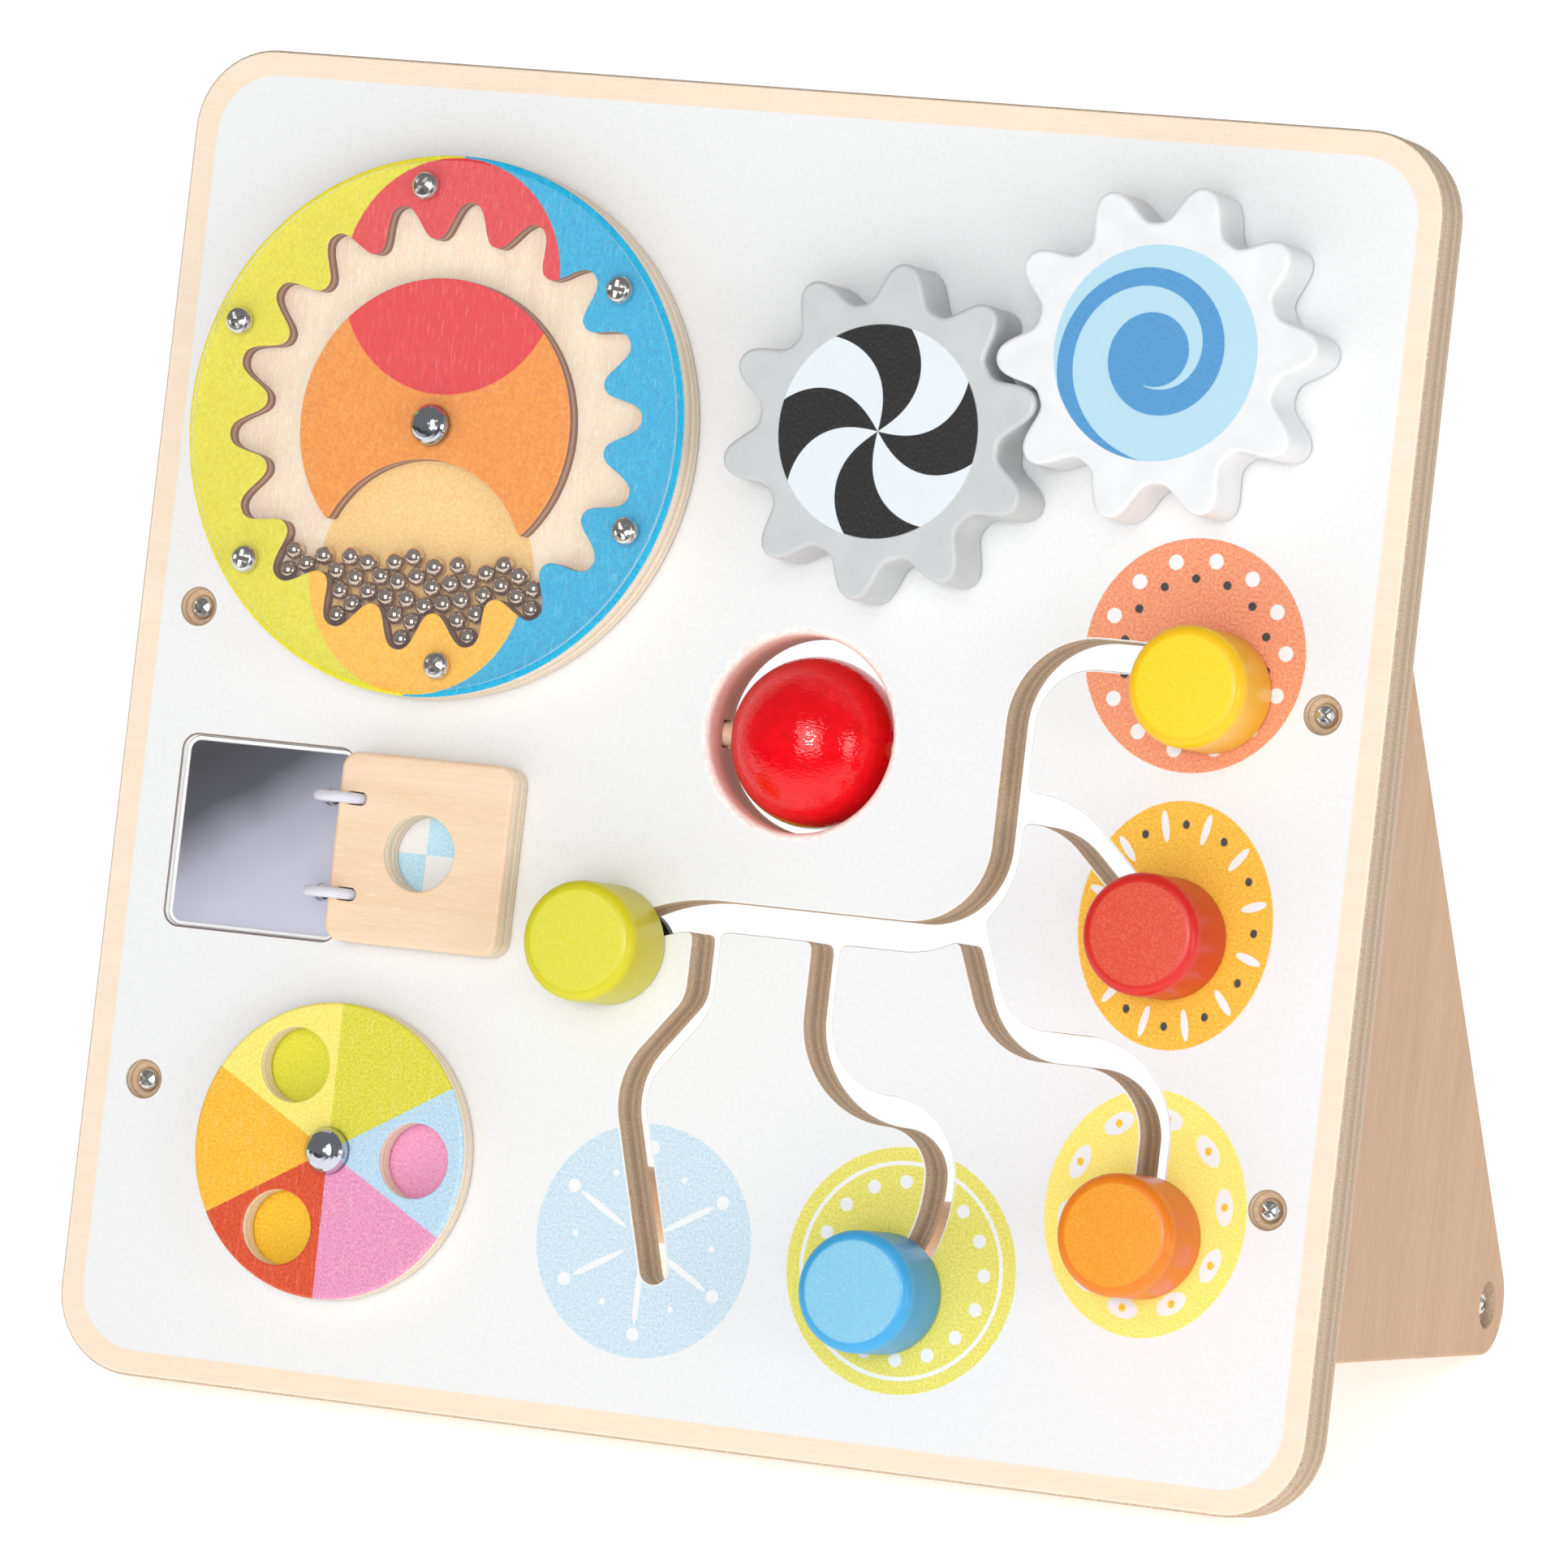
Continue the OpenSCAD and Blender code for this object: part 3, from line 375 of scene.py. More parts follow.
def cornerLoop(corners, radii, step=7.5):
    # Closed loop through corners, anticlockwise, each rounded by an arc of its own radius
    corners = np.asarray(corners, float)
    pieces = []
    for corner, before, after, radius in zip(corners, np.roll(corners, 1, 0), np.roll(corners, -1, 0), radii):
        toBefore = (before - corner) / np.linalg.norm(before - corner)
        toAfter = (after - corner) / np.linalg.norm(after - corner)
        half = math.acos(np.clip(toBefore @ toAfter, -1, 1)) / 2
        middle = (toBefore + toAfter) / np.linalg.norm(toBefore + toAfter)
        centre = corner + middle * radius / math.sin(half)
        turn = np.pi - 2 * half
        side = np.sign(toBefore[0] * toAfter[1] - toBefore[1] * toAfter[0]) * -1
        count = max(2, int(math.ceil(math.degrees(turn) / step)))
        start = math.atan2(-middle[1], -middle[0]) - side * turn / 2
        angle = start + side * turn * np.arange(count + 1) / count
        pieces.append(np.stack([centre[0] + radius * np.cos(angle), centre[1] + radius * np.sin(angle)], 1))
    return np.concatenate(pieces)


def rectLoop(x, y, width, height, radius):
    w, h = width / 2, height / 2
    return cornerLoop([(x + w, y + h), (x - w, y + h), (x - w, y - h), (x + w, y - h)], [radius] * 4)


waveFlat = math.radians(72)  # the larger, the flatter the crests and the gaps of a wavy outline


def waveLoop(x, y, count, low, high, phase, slim, steps):
    # Wavy outline: its radius is the sine of a cosine, less a little between crest and gap
    angle = np.arange(count * steps) * 2 * np.pi / (count * steps)
    swing = np.cos(count * angle)
    wave = np.sin(waveFlat * swing) / math.sin(waveFlat) - slim * (1 - swing * swing)
    radius = (high + low) / 2 + (high - low) / 2 * wave
    turned = angle + math.radians(phase)
    return np.stack([x + radius * np.cos(turned), y + radius * np.sin(turned)], 1)


def inwardNormals(loop):  # unit normals on the left of a closed loop, lengthened at its corners
    ahead = np.roll(loop, -1, 0) - loop
    ahead /= np.linalg.norm(ahead, axis=1)[:, None]
    behind = np.roll(ahead, 1, 0)
    tangent = ahead + behind
    tangent /= np.linalg.norm(tangent, axis=1)[:, None]
    left = np.stack([-tangent[:, 1], tangent[:, 0]], 1)
    fit = np.clip((left * np.stack([-ahead[:, 1], ahead[:, 0]], 1)).sum(1), 0.6, 1.0)
    return left / fit[:, None]


class Slab:
    # A flat piece: walls carried round closed loops, each with rounded edges, and filled faces.
    # A loop keeps the wood on its left. Each wall's ring is the loop moved into the wood by the
    # rounding's quarter circle, at the level that the quarter circle gives. The marks choose the
    # finishes of the upper rounding, the straight wall and the lower rounding.
    margin = 0.12  # a narrow flat ring past each rounding keeps the shading of the face level

    def __init__(self):
        self.points, self.faces, self.marks, self.count = [], [], [], 0
        self.tops, self.feet = [], []

    def wall(self, loop, top, bottom, topRound=0.0, bottomRound=0.0, marks=(0, 0, 0), steps=4):
        turn = np.arange(steps + 1) * np.pi / 2 / steps
        rings = [(0.0, top)]
        if topRound:
            rings = [(topRound + self.margin, top)]
            rings += zip(topRound * (1 - np.sin(turn)), top - topRound * (1 - np.cos(turn)))
        upper = len(rings)
        if bottomRound:
            turn = turn[::-1]
            rings += zip(bottomRound * (1 - np.sin(turn)), bottom + bottomRound * (1 - np.cos(turn)))
        rings.append((bottomRound + self.margin if bottomRound else 0.0, bottom))
        size = len(loop)
        normals = inwardNormals(loop)
        first = self.count
        for inset, level in rings:
            self.points.append(np.column_stack([loop + normals * inset, np.full(size, level)]))
        self.count += size * len(rings)
        here = np.arange(size)
        after = np.roll(here, -1)
        for k in range(len(rings) - 1):
            a, b = first + k * size, first + (k + 1) * size
            quads = np.stack([a + here, b + here, b + after, a + after], 1)
            self.faces += quads.tolist()
            zone = 0 if k < upper - 1 else (1 if k == upper - 1 else 2)
            self.marks += [marks[zone]] * size
        return first + here, first + (len(rings) - 1) * size + here

    def through(self, *wall, **more):  # a wall from the front face to the rear one
        top, foot = self.wall(*wall, **more)
        self.tops.append(top)
        self.feet.append(foot)

    def close(self, frontMark, rearMark):
        self.cap(self.tops, True, frontMark)
        self.cap(self.feet, False, rearMark)

    def cap(self, rings, up, mark):  # fills the flat face between rings, looking up or down
        everything = np.concatenate(self.points)
        loops = [list(map(Vector, np.column_stack([everything[ring][:, :2], np.zeros(len(ring))]).tolist()))
                 for ring in rings]
        order = np.concatenate(rings)
        triangles = order[np.array(tessellate_polygon(loops))]
        a, b, c = (everything[triangles[:, k]][:, :2] for k in range(3))
        area = (b[:, 0] - a[:, 0]) * (c[:, 1] - a[:, 1]) - (b[:, 1] - a[:, 1]) * (c[:, 0] - a[:, 0])
        wrong = (area > 0) != up
        triangles[wrong] = triangles[wrong][:, ::-1]
        triangles = triangles[np.abs(area) > 1e-9]
        self.faces += triangles.tolist()
        self.marks += [mark] * len(triangles)

    def mesh(self):
        return np.concatenate(self.points), self.faces, self.marks


def lathe(profile, centre, count=72, axis="z"):
    # Revolves a profile of radius and level round an axis through the centre
    angle = np.arange(count) * 2 * np.pi / count
    radius, level = profile[:, 0][:, None], profile[:, 1][:, None]
    across, beside = radius * np.cos(angle), radius * np.sin(angle)
    along = np.broadcast_to(level, across.shape)
    order = (across, beside, along) if axis == "z" else (along, across, beside)
    points = np.stack(order, 2).reshape(-1, 3) + np.asarray(centre, float)
    rows = len(profile)
    here = np.arange(count)
    after = np.roll(here, -1)
    base = (np.arange(rows - 1) * count)[:, None]
    quads = np.stack([base + here, base + after, base + count + after, base + count + here], 2)
    return points, quads.reshape(-1, 4).tolist(), [0] * (rows - 1) * count


def arc(x, y, radius, start, end, count):  # points on an arc, angles in degrees
    angle = np.radians(np.linspace(start, end, count))
    return np.stack([x + radius * np.cos(angle), y + radius * np.sin(angle)], 1)


# Board

boardSet = {
    "width": 340.0, "height": 340.0, "thick": 15.0, "cornerRound": 21.0, "frontRound": 1.0, "backRound": 1.2,
    "printInset": 6.5, "printRound": 16.0,
    "screwX": 153.2, "screwY": (75.3, 196.5), "screwHole": 4.6, "screwDepth": 2.8, "screwBore": 2.05,
    "screwRound": 0.35, "ballHole": 24.7, "ballHoleY": 179.3, "ballRim": 1.8,
    "grooveTop": -8.85, "grooveHalf": 34.75, "grooveY": (174.4, 181.4),
    "recess": (-128.6, 139.6, 48.4, 48.8, 4.0), "recessDepth": 4.0, "recessRound": 0.5,
    "loopX": (-110.4, -97.2), "loopY": (127.5, 151.7), "loopHole": 1.7, "boltHole": 3.05, "pinHole": 5.1,
}
slotSet = {
    "width": 7.5, "y": 132.1, "riserX": 74.7, "riserBend": 24.7, "cornerSoft": 1.5, "frontRound": 0.35,
    "backRound": 0.7, "spacing": 0.25, "finalSpacing": 0.7, "slack": 0.04, "endPoints": 25,
}
# Each run of the slot: where it starts and its heading in degrees, then its moves. A move is a
# length, or a radius and a turn.
slotRuns = {
    "lime": ((0, slotSet["y"], 180), [(45, 39)]),
    "main": ((0, slotSet["y"], 0),
             [(slotSet["riserX"] - slotSet["riserBend"],), (slotSet["riserBend"], 90), (30.2,), (19, -90),
              (9.3,), (38.3, -34.2)]),
    "free": ((-2.6, slotSet["y"], -90), [(17.6,), (14, -38), (13.7,), (17, 53.5), (38.5,)]),
    "blue": ((29.8, slotSet["y"], -90), [(21.8,), (21.5, 90), (15.7, -90), (1.1,), (41, -43.1)]),
    "orange": ((slotSet["riserX"] - 8.2, slotSet["y"] + 7.1, -69),
               [(20.6,), (17.4, 69), (11.4,), (20.5, -90), (23.1,)]),
    "red": ((slotSet["riserX"], slotSet["y"] + 34.7, 0), [(5.3,), (24, -43), (32.2,)]),
}


def walkPath(start, moves):
    # Points along a run with their headings, from its start through all its moves
    spacing = slotSet["spacing"]
    path = [np.array([start], float)]
    for move in moves:
        x, y, heading = path[-1][-1]
        if len(move) == 1:
            reach = np.linspace(0, move[0], int(math.ceil(move[0] / spacing)) + 1)[1:]
            angle = math.radians(heading)
            path.append(np.stack([x + reach * math.cos(angle), y + reach * math.sin(angle),
                                  np.full(len(reach), heading)], 1))
        else:
            radius, turn = move
            count = int(math.ceil(radius * math.radians(abs(turn)) / spacing))
            swept = np.linspace(0, turn, count + 1)[1:]
            side, angle = math.copysign(1, turn), math.radians(heading)
            end = angle + np.radians(swept)
            path.append(np.stack([x + side * radius * (np.sin(end) - math.sin(angle)),
                                  y - side * radius * (np.cos(end) - math.cos(angle)), heading + swept], 1))
    return np.concatenate(path)


def sideLine(path, offset):  # the line beside a path, to its left
    angle = np.radians(path[:, 2])
    return path[:, :2] + offset * np.stack([-np.sin(angle), np.cos(angle)], 1)


def endCap(state, radius, turn=0.0):  # the half circle round a path's end, without its own ends
    x, y, heading = state
    return arc(x, y, radius, heading + turn - 90, heading + turn + 90, slotSet["endPoints"])[1:-1]


def clearOf(points, paths, radius):  # marks the points that lie in none of the other bands
    free = np.ones(len(points), bool)
    for path in paths:
        gap = np.linalg.norm(points[:, None, :] - path[None, :, :2], axis=2).min(1)
        free &= gap > radius - slotSet["slack"]
    return free


def slotOutline():
    # The edge of the whole branching slot, anticlockwise: the main path's right side with each
    # branch's own edge let in where the branch leaves, then its left side back to the start
    half = slotSet["width"] / 2
    lime = walkPath(*slotRuns["lime"])[::-1].copy()
    lime[:, 2] += 180
    main = np.concatenate([lime, walkPath(*slotRuns["main"])[1:]])
    branches = [walkPath(*slotRuns[name]) for name in ("free", "blue", "orange", "red")]
    right = sideLine(main, -half)
    free = clearOf(right, branches, half)
    edges = np.flatnonzero(np.diff(free.astype(int)))
    runs = np.split(right, edges + 1)[::2]
    pieces, corners = [], []
    for k, run in enumerate(runs):
        pieces.append(run)
        if k < len(branches):
            branch = branches[k]
            others = [main] + [other for other in branches if other is not branch]
            out, back = sideLine(branch, -half), sideLine(branch, half)[::-1]
            piece = np.concatenate([out[clearOf(out, others, half)], endCap(branch[-1], half),
                                    back[clearOf(back, others, half)]])
            corners += [len(pieces), len(pieces) + 1]
            pieces.append(piece)
    pieces.append(np.concatenate([endCap(main[-1], half), sideLine(main, half)[::-1],
                                  endCap(main[0], half, 180)]))
    starts = np.cumsum([0] + [len(piece) for piece in pieces])
    return np.concatenate(pieces), starts[corners]


def evenLoop(loop, spacing):  # the same closed loop with points at even spacing
    closed = np.concatenate([loop, loop[:1]])
    reach = np.concatenate([[0], np.cumsum(np.linalg.norm(np.diff(closed, axis=0), axis=1))])
    count = int(round(reach[-1] / spacing))
    at = np.arange(count) * reach[-1] / count
    return np.stack([np.interp(at, reach, closed[:, k]) for k in range(2)], 1), at, reach


def softened(loop, cornerAt, width):
    # Rounds the corners alone: near each one the loop gives way to its own smoothed copy
    even, at, reach = evenLoop(loop, slotSet["spacing"])
    length, count = reach[-1], len(even)
    wave = np.fft.fftfreq(count, d=length / count)
    signal = np.fft.fft(even[:, 0] + 1j * even[:, 1])
    smooth = np.fft.ifft(signal * np.exp(-2 * (np.pi * width * wave) ** 2))
    away = np.abs(at[:, None] - reach[cornerAt][None, :])
    near = np.minimum(away, length - away).min(1)
    fade = 3.2 * width
    share = np.clip(1.6 - near / fade, 0, 1)
    share = (share * share * (3 - 2 * share))[:, None]
    return even * (1 - share) + np.stack([smooth.real, smooth.imag], 1) * share


outline, cornerAt = slotOutline()
slotLoop = evenLoop(softened(outline, cornerAt, slotSet["cornerSoft"]), slotSet["finalSpacing"])[0][::-1]


def makeBoard(finishes):
    s = boardSet
    rear = -s["thick"]
    slab = Slab()
    printMark, plyMark, slotMark, backMark, recessMark, boreMark, ballMark = range(7)
    slab.through(rectLoop(0, s["height"] / 2, s["width"], s["height"], s["cornerRound"]), 0, rear,
                 s["frontRound"], s["backRound"], (plyMark, plyMark, backMark), 5)
    slab.through(slotLoop, 0, rear, slotSet["frontRound"], slotSet["backRound"],
                 (slotMark, slotMark, backMark))
    # the ball's hole, with the axle's groove across its rear part
    radius, x, y = s["ballHole"], ballAt[0], s["ballHoleY"]
    low, high = (math.degrees(math.asin((level - y) / radius)) for level in s["grooveY"])
    upperArc = arc(x, y, radius, high, 180 - high, 44)
    lowerArc = arc(x, y, radius, 180 - low, 360 + low, 44)
    leftArc = arc(x, y, radius, 180 - high, 180 - low, 6)
    rightArc = arc(x, y, radius, low, high, 6)
    arm = s["grooveHalf"]
    leftArm = np.array([(x - arm, s["grooveY"][1]), (x - arm, s["grooveY"][0])])
    rightArm = np.array([(x + arm, s["grooveY"][0]), (x + arm, s["grooveY"][1])])
    ring = np.concatenate([upperArc, leftArc[1:-1], lowerArc, rightArc[1:-1]])[::-1]
    grooved = np.concatenate([upperArc, leftArm, lowerArc, rightArm])[::-1]
    top, ringFoot = slab.wall(ring, 0, s["grooveTop"], s["ballRim"], 0, (ballMark,) * 3, 5)
    slab.tops.append(top)
    grooveHead, foot = slab.wall(grooved, s["grooveTop"], rear, 0, 0, (ballMark,) * 3)
    slab.feet.append(foot)
    ringFoot, grooveHead = ringFoot[::-1], grooveHead[::-1]
    upperSize, lowerSize, armSize = len(upperArc), len(lowerArc), len(leftArc) - 2
    slab.cap([np.concatenate([grooveHead[upperSize - 1:upperSize + 3],
                              ringFoot[upperSize:upperSize + armSize][::-1]])], False, plyMark)
    slab.cap([np.concatenate([grooveHead[upperSize + 2 + lowerSize - 1:], grooveHead[:1],
                              ringFoot[upperSize + armSize + lowerSize:][::-1]])], False, plyMark)
    # the mirror's recess and the hinge loops' holes
    top, floor = slab.wall(rectLoop(*s["recess"])[::-1], 0, -s["recessDepth"], s["recessRound"], 0,
                           (printMark, recessMark, recessMark), 3)
    slab.tops.append(top)
    floors = [floor]
    for holeX, level, heads in zip(s["loopX"], (-s["recessDepth"], 0), (floors, slab.tops)):
        for holeY in s["loopY"]:
            head, foot = slab.wall(circleLoop(holeX, holeY, s["loopHole"], 24)[::-1], level, rear,
                                   marks=(slotMark,) * 3)
            heads.append(head)
            slab.feet.append(foot)
    slab.cap(floors, True, recessMark)
    # counterbored screw holes, bolt holes and pin holes
    for holeX in (-s["screwX"], s["screwX"]):
        for holeY in s["screwY"]:
            top, floor = slab.wall(circleLoop(holeX, holeY, s["screwHole"], 40)[::-1], 0, -s["screwDepth"],
                                   s["screwRound"], 0, (boreMark,) * 3, 3)
            head, foot = slab.wall(circleLoop(holeX, holeY, s["screwBore"], 24)[::-1], -s["screwDepth"],
                                   rear, marks=(boreMark,) * 3)
            slab.cap([floor, head], True, boreMark)
            slab.tops.append(top)
            slab.feet.append(foot)
    for place, radius in ((drumAt, s["boltHole"]), (spinnerAt, s["boltHole"]), (greyGearAt, s["pinHole"]),
                          (whiteGearAt, s["pinHole"])):
        slab.through(circleLoop(*place[:2], radius, 36)[::-1], 0, rear, marks=(plyMark,) * 3)
    slab.close(printMark, backMark)
    addPiece("boardPly", *slab.mesh(), finishes, "stand_board", ("board",), "printed_board")


wood = {"pale": tint(245, 227, 206), "paleStreak": tint(239, 217, 192), "birch": tint(240, 217, 190),
        "birchStreak": tint(226, 193, 158), "panel": tint(208, 173, 140), "panelStreak": tint(195, 156, 120),
        "floor": tint(255, 238, 213), "floorStreak": tint(247, 223, 194),
        "plyLight": tint(212, 191, 166), "plyDark": tint(178, 154, 127),
        "rimLight": tint(250, 240, 224), "rimDark": tint(226, 204, 176),
        "slotLight": tint(230, 209, 181), "slotDark": tint(187, 163, 134)}
ink = {"white": tint(237, 238, 239), "whiteSpeck": tint(230, 230, 230), "peach": tint(236, 150, 112),
       "orange": tint(243, 187, 56), "yellow": tint(252, 232, 117), "green": tint(230, 222, 104),
       "sky": tint(202, 221, 233), "dark": tint(62, 62, 66), "lime": tint(225, 224, 63),
       "pink": tint(239, 161, 201), "amber": tint(247, 196, 44), "check": tint(189, 228, 247)}


# Printed discs at the slot's ends: centre, radii across and up, ink, then the marks that repeat
# round it: how many, the first one's direction, how far out, radii outwards and along, ink
discArt = [
    ((118.4, 208.0), (28.85, 28.85), "peach", [(14, 6, 23.6, (1.9, 1.9), "white"),
                                               (14, 18.9, 18.9, (1.1, 1.1), "dark")]),
    ((121.05, 141.75), (25.4, 30.6), "orange", [(12, 15, 20.6, (3.3, 0.95), "white"),
                                                (12, 0, 20.6, (0.9, 0.9), "dark")]),
    ((121.7, 71.05), (26.4, 30.4), "yellow", [(10, 9, 20.6, (2.2, 4.0), "white"),
                                              (10, 9, 20.6, (0.9, 0.9), "amber")]),
    ((59.4, 50.0), (30.5, 30.5), "green", [(16, 3, 22.0, (1.7, 1.7), "white")]),
    ((-10.3, 49.7), (29.2, 29.2), "sky", [(6, 30, 13.4, (7.6, 0.85), "white"),
                                          (6, 30, 23.4, (1.7, 1.7), "white"),
                                          (12, 0, 18.6, (0.8, 0.8), "white")]),
]
faceArt = {"greenRing": (59.4, 50.0, 26.6, 0.5), "underSpinner": 36.0, "thirdsStart": -60,
           "checkCell": 10.5, "checkMove": (81.6, -139.6, 0.5), "checkCentre": (-79.5, 139.6),
           "checkHalf": 12.8, "outline": (0.24, 0.2)}


def printedFace():
    # Front of the board: white print inside a bare border, with a coloured disc at each slot's end
    f = Finish("printedFace", 0.42, 0.12, 0.25)
    a = faceArt
    place = f.onBoard()
    flat = f.flat(place)
    bare, lines = grain(f, place, "x", wood["pale"], wood["paleStreak"], 0.4)
    middle = f.mapped(flat, (0, -boardSet["height"] / 2, 0))
    inset = 2 * boardSet["printInset"]
    printed = f.inside(f.roundedRect(middle, boardSet["width"] - inset, boardSet["height"] - inset,
                                     boardSet["printRound"]), 0.2)
    speck = f.noise(place, 0.9, 3.0, 0.6)
    art = f.mix(f.grade(speck, 0.3, 0.75), ink["white"], ink["whiteSpeck"])
    for (x, y), (across, up), base, marks in discArt:
        art = f.mix(f.disc(flat, x, y, across, up), art, ink[base])
        squeeze = across / up  # the marks follow the disc's own oval
        local = f.mapped(flat, (-x, -y * squeeze, 0), scale=(1, squeeze, 0))
        for count, phase, reach, size, colour in marks:
            art = f.mix(f.disc(f.repeated(local, count, phase), reach, 0, *size), art, ink[colour])
    # a thin white ring outside the green disc's dots
    x, y, ringRadius, ringHalf = a["greenRing"]
    art = f.mix(f.line(f.reach(f.mapped(flat, (-x, -y, 0))), ringRadius, ringHalf), art, ink["white"])
    # three colours under the spinner's finger holes
    radius, angle = f.polar(f.mapped(flat, (-spinnerAt[0], -spinnerAt[1], 0)))
    third = f.sector(angle, a["thirdsStart"], 120)
    under = f.mix(f.calc("GREATER_THAN", third, 1.0), ink["pink"], ink["lime"])
    under = f.mix(f.calc("GREATER_THAN", third, 2.0), under, ink["amber"])
    art = f.mix(f.below(radius, a["underSpinner"]), art, under)
    # blue and white checks under the flap's peep hole
    cell = f.tree.nodes.new("ShaderNodeTexChecker")
    f.feed(cell.inputs["Vector"], f.mapped(flat, a["checkMove"]))
    cell.inputs["Scale"].default_value = 1 / a["checkCell"]
    cell.inputs["Color1"].default_value = ink["white"]
    cell.inputs["Color2"].default_value = ink["check"]
    spread = f.calc("MAXIMUM", *(f.calc("ABSOLUTE", f.calc("SUBTRACT", value, centre))
                                 for value, centre in zip(f.split(flat)[:2], a["checkCentre"])))
    art = f.mix(f.below(spread, a["checkHalf"]), art, cell.outputs["Color"])
    # print wear: pores that follow the grain, and fine grains where there is colour
    pores = f.noise(f.mapped(place, scale=(0.5, 3.2, 3.2)), 1.0, 2.0, 0.6)
    art = f.mix(f.grade(pores, 0.56, 0.72, 0.0, 0.05), art, tint(205, 190, 175))
    art = f.speckled(art, place, f.grade(f.saturation(art), 0.03, 0.15, 0.0, 0.55))
    colour = f.mix(printed, bare, art)
    # thin brown line round the mirror's recess
    x, y, width, height, corner = boardSet["recess"]
    rim = f.roundedRect(f.mapped(flat, (-x, -y, 0)), width, height, corner)
    colour = f.mix(f.both(f.line(rim, *a["outline"], 0.1), 0.95), colour, tint(108, 80, 62))
    f.bump(f.calc("ADD", f.calc("MULTIPLY", lines, 0.4), pores), 0.12)
    return f.finish(colour, f.grade(speck, 0.3, 0.7, 0.36, 0.5))


def plyEdge(name, light, dark, face, faceDepth=0.12):
    # Ply layers below a face whose own colour runs a little way over the rounded edge
    f = Finish(name, 0.62)
    place = f.onBoard()
    colour, fibre = veneers(f, place, light, dark, boardSet["thick"])
    colour = f.mix(f.grade(f.split(place)[2], -faceDepth - 0.08, -faceDepth + 0.08), colour, face)
    f.bump(fibre, 0.25)
    return f.finish(colour, f.grade(fibre, 0.3, 0.7, 0.55, 0.72))


def bareFace(name, along, base, streak, fleck=0.5):  # a sanded wood face with a thin clear coat
    f = Finish(name, 0.52, 0.05, 0.4)
    colour, lines = grain(f, f.onBoard(), along, base, streak, fleck)
    f.bump(lines, 0.18)
    return f.finish(colour, f.grade(lines, 0.3, 0.7, 0.46, 0.6))


sidePly = plyEdge("sidePly", wood["plyLight"], wood["plyDark"], wood["pale"])
routedPly = plyEdge("routedPly", wood["slotLight"], wood["slotDark"], ink["white"], 0.1)


def boreWood():
    # Counterbore: a thin dark line just inside its rim, pale wood below it and tan at its floor
    f = Finish("boreWood", 0.6)
    place = f.onBoard()
    z = f.split(place)[2]
    fibre = f.noise(f.mapped(place, scale=(0.5, 2.0, 2.0)), 1.0, 3.0)
    deep = f.mix(f.grade(fibre, 0.35, 0.7), tint(220, 194, 164), tint(198, 170, 140))
    colour = f.mix(f.grade(z, -1.5, -0.7), deep, tint(246, 230, 200))
    colour = f.mix(f.both(f.grade(z, -0.42, -0.3), 0.8), colour, tint(142, 112, 88))
    f.bump(fibre, 0.2)
    return f.finish(colour)


def ballHoleWood():
    # Ball's hole: a broad rounded rim, pale pink at the front, which is painted red light thrown back by the
    # ball, and browner towards the back
    f = Finish("ballHoleWood", 0.55)
    place = f.onBoard()
    fibre = f.noise(f.mapped(place, scale=(0.5, 0.5, 4.0)), 1.0, 3.0, 0.6)
    level = f.calc("ADD", f.calc("MULTIPLY", f.split(place)[2], -1 / boardSet["thick"]),
                   f.calc("MULTIPLY_ADD", fibre, 0.06, -0.03))
    # pink tones on the front half of the wall: painted light reflected from the red ball
    colour = f.ramp(level, [(0.0, tint(250, 246, 242)), (0.05, tint(250, 232, 222)),
                            (0.16, tint(255, 238, 226)), (0.36, tint(250, 208, 190)),
                            (0.52, tint(214, 168, 148)), (0.8, tint(178, 138, 118)),
                            (1.0, tint(180, 142, 122))])
    colour = f.mix(f.grade(fibre, 0.45, 0.7, 0.0, 0.35), colour, tint(206, 152, 128))
    f.bump(fibre, 0.3)
    return f.finish(colour)


def recessWall():
    # Wall and floor of the mirror's recess: bare white primer
    f = Finish("recessWall", 0.5)
    fibre = f.noise(f.mapped(f.onBoard(), scale=(0.4, 0.4, 3.0)), 1.0, 3.0)
    colour = f.mix(f.grade(fibre, 0.4, 0.7, 0.0, 0.3), tint(255, 255, 254), tint(244, 240, 236))
    f.bump(fibre, 0.2)
    return f.finish(colour)


boardBack = bareFace("boardBack", "x", wood["birch"], wood["birchStreak"])
makeBoard([printedFace(), sidePly, routedPly, boardBack, recessWall(), boreWood(), ballHoleWood()])
print("board made")


# Side panels and crossbar

panelSet = {"inset": 153.2, "thick": 12.0, "low": 38.2, "high": 249.0, "rear": (44.7, -180.5),
            "footRound": 13.0, "tipRound": 1.2, "edgeRound": 0.9, "screwHole": 6.1, "screwRound": 0.3,
            "screwDepth": 2.8, "screwBore": 2.05, "barRadius": 10.0}


def footCentre():  # centre of the arc that rounds the panel's rear corner
    s = panelSet
    rear = np.array(s["rear"])
    toLow = np.array([s["low"], -boardSet["thick"]]) - rear
    toHigh = np.array([s["high"], -boardSet["thick"]]) - rear
    toLow /= np.linalg.norm(toLow)
    toHigh /= np.linalg.norm(toHigh)
    middle = (toLow + toHigh) / np.linalg.norm(toLow + toHigh)
    return rear + middle * s["footRound"] / math.sin(math.acos(toLow @ toHigh) / 2)


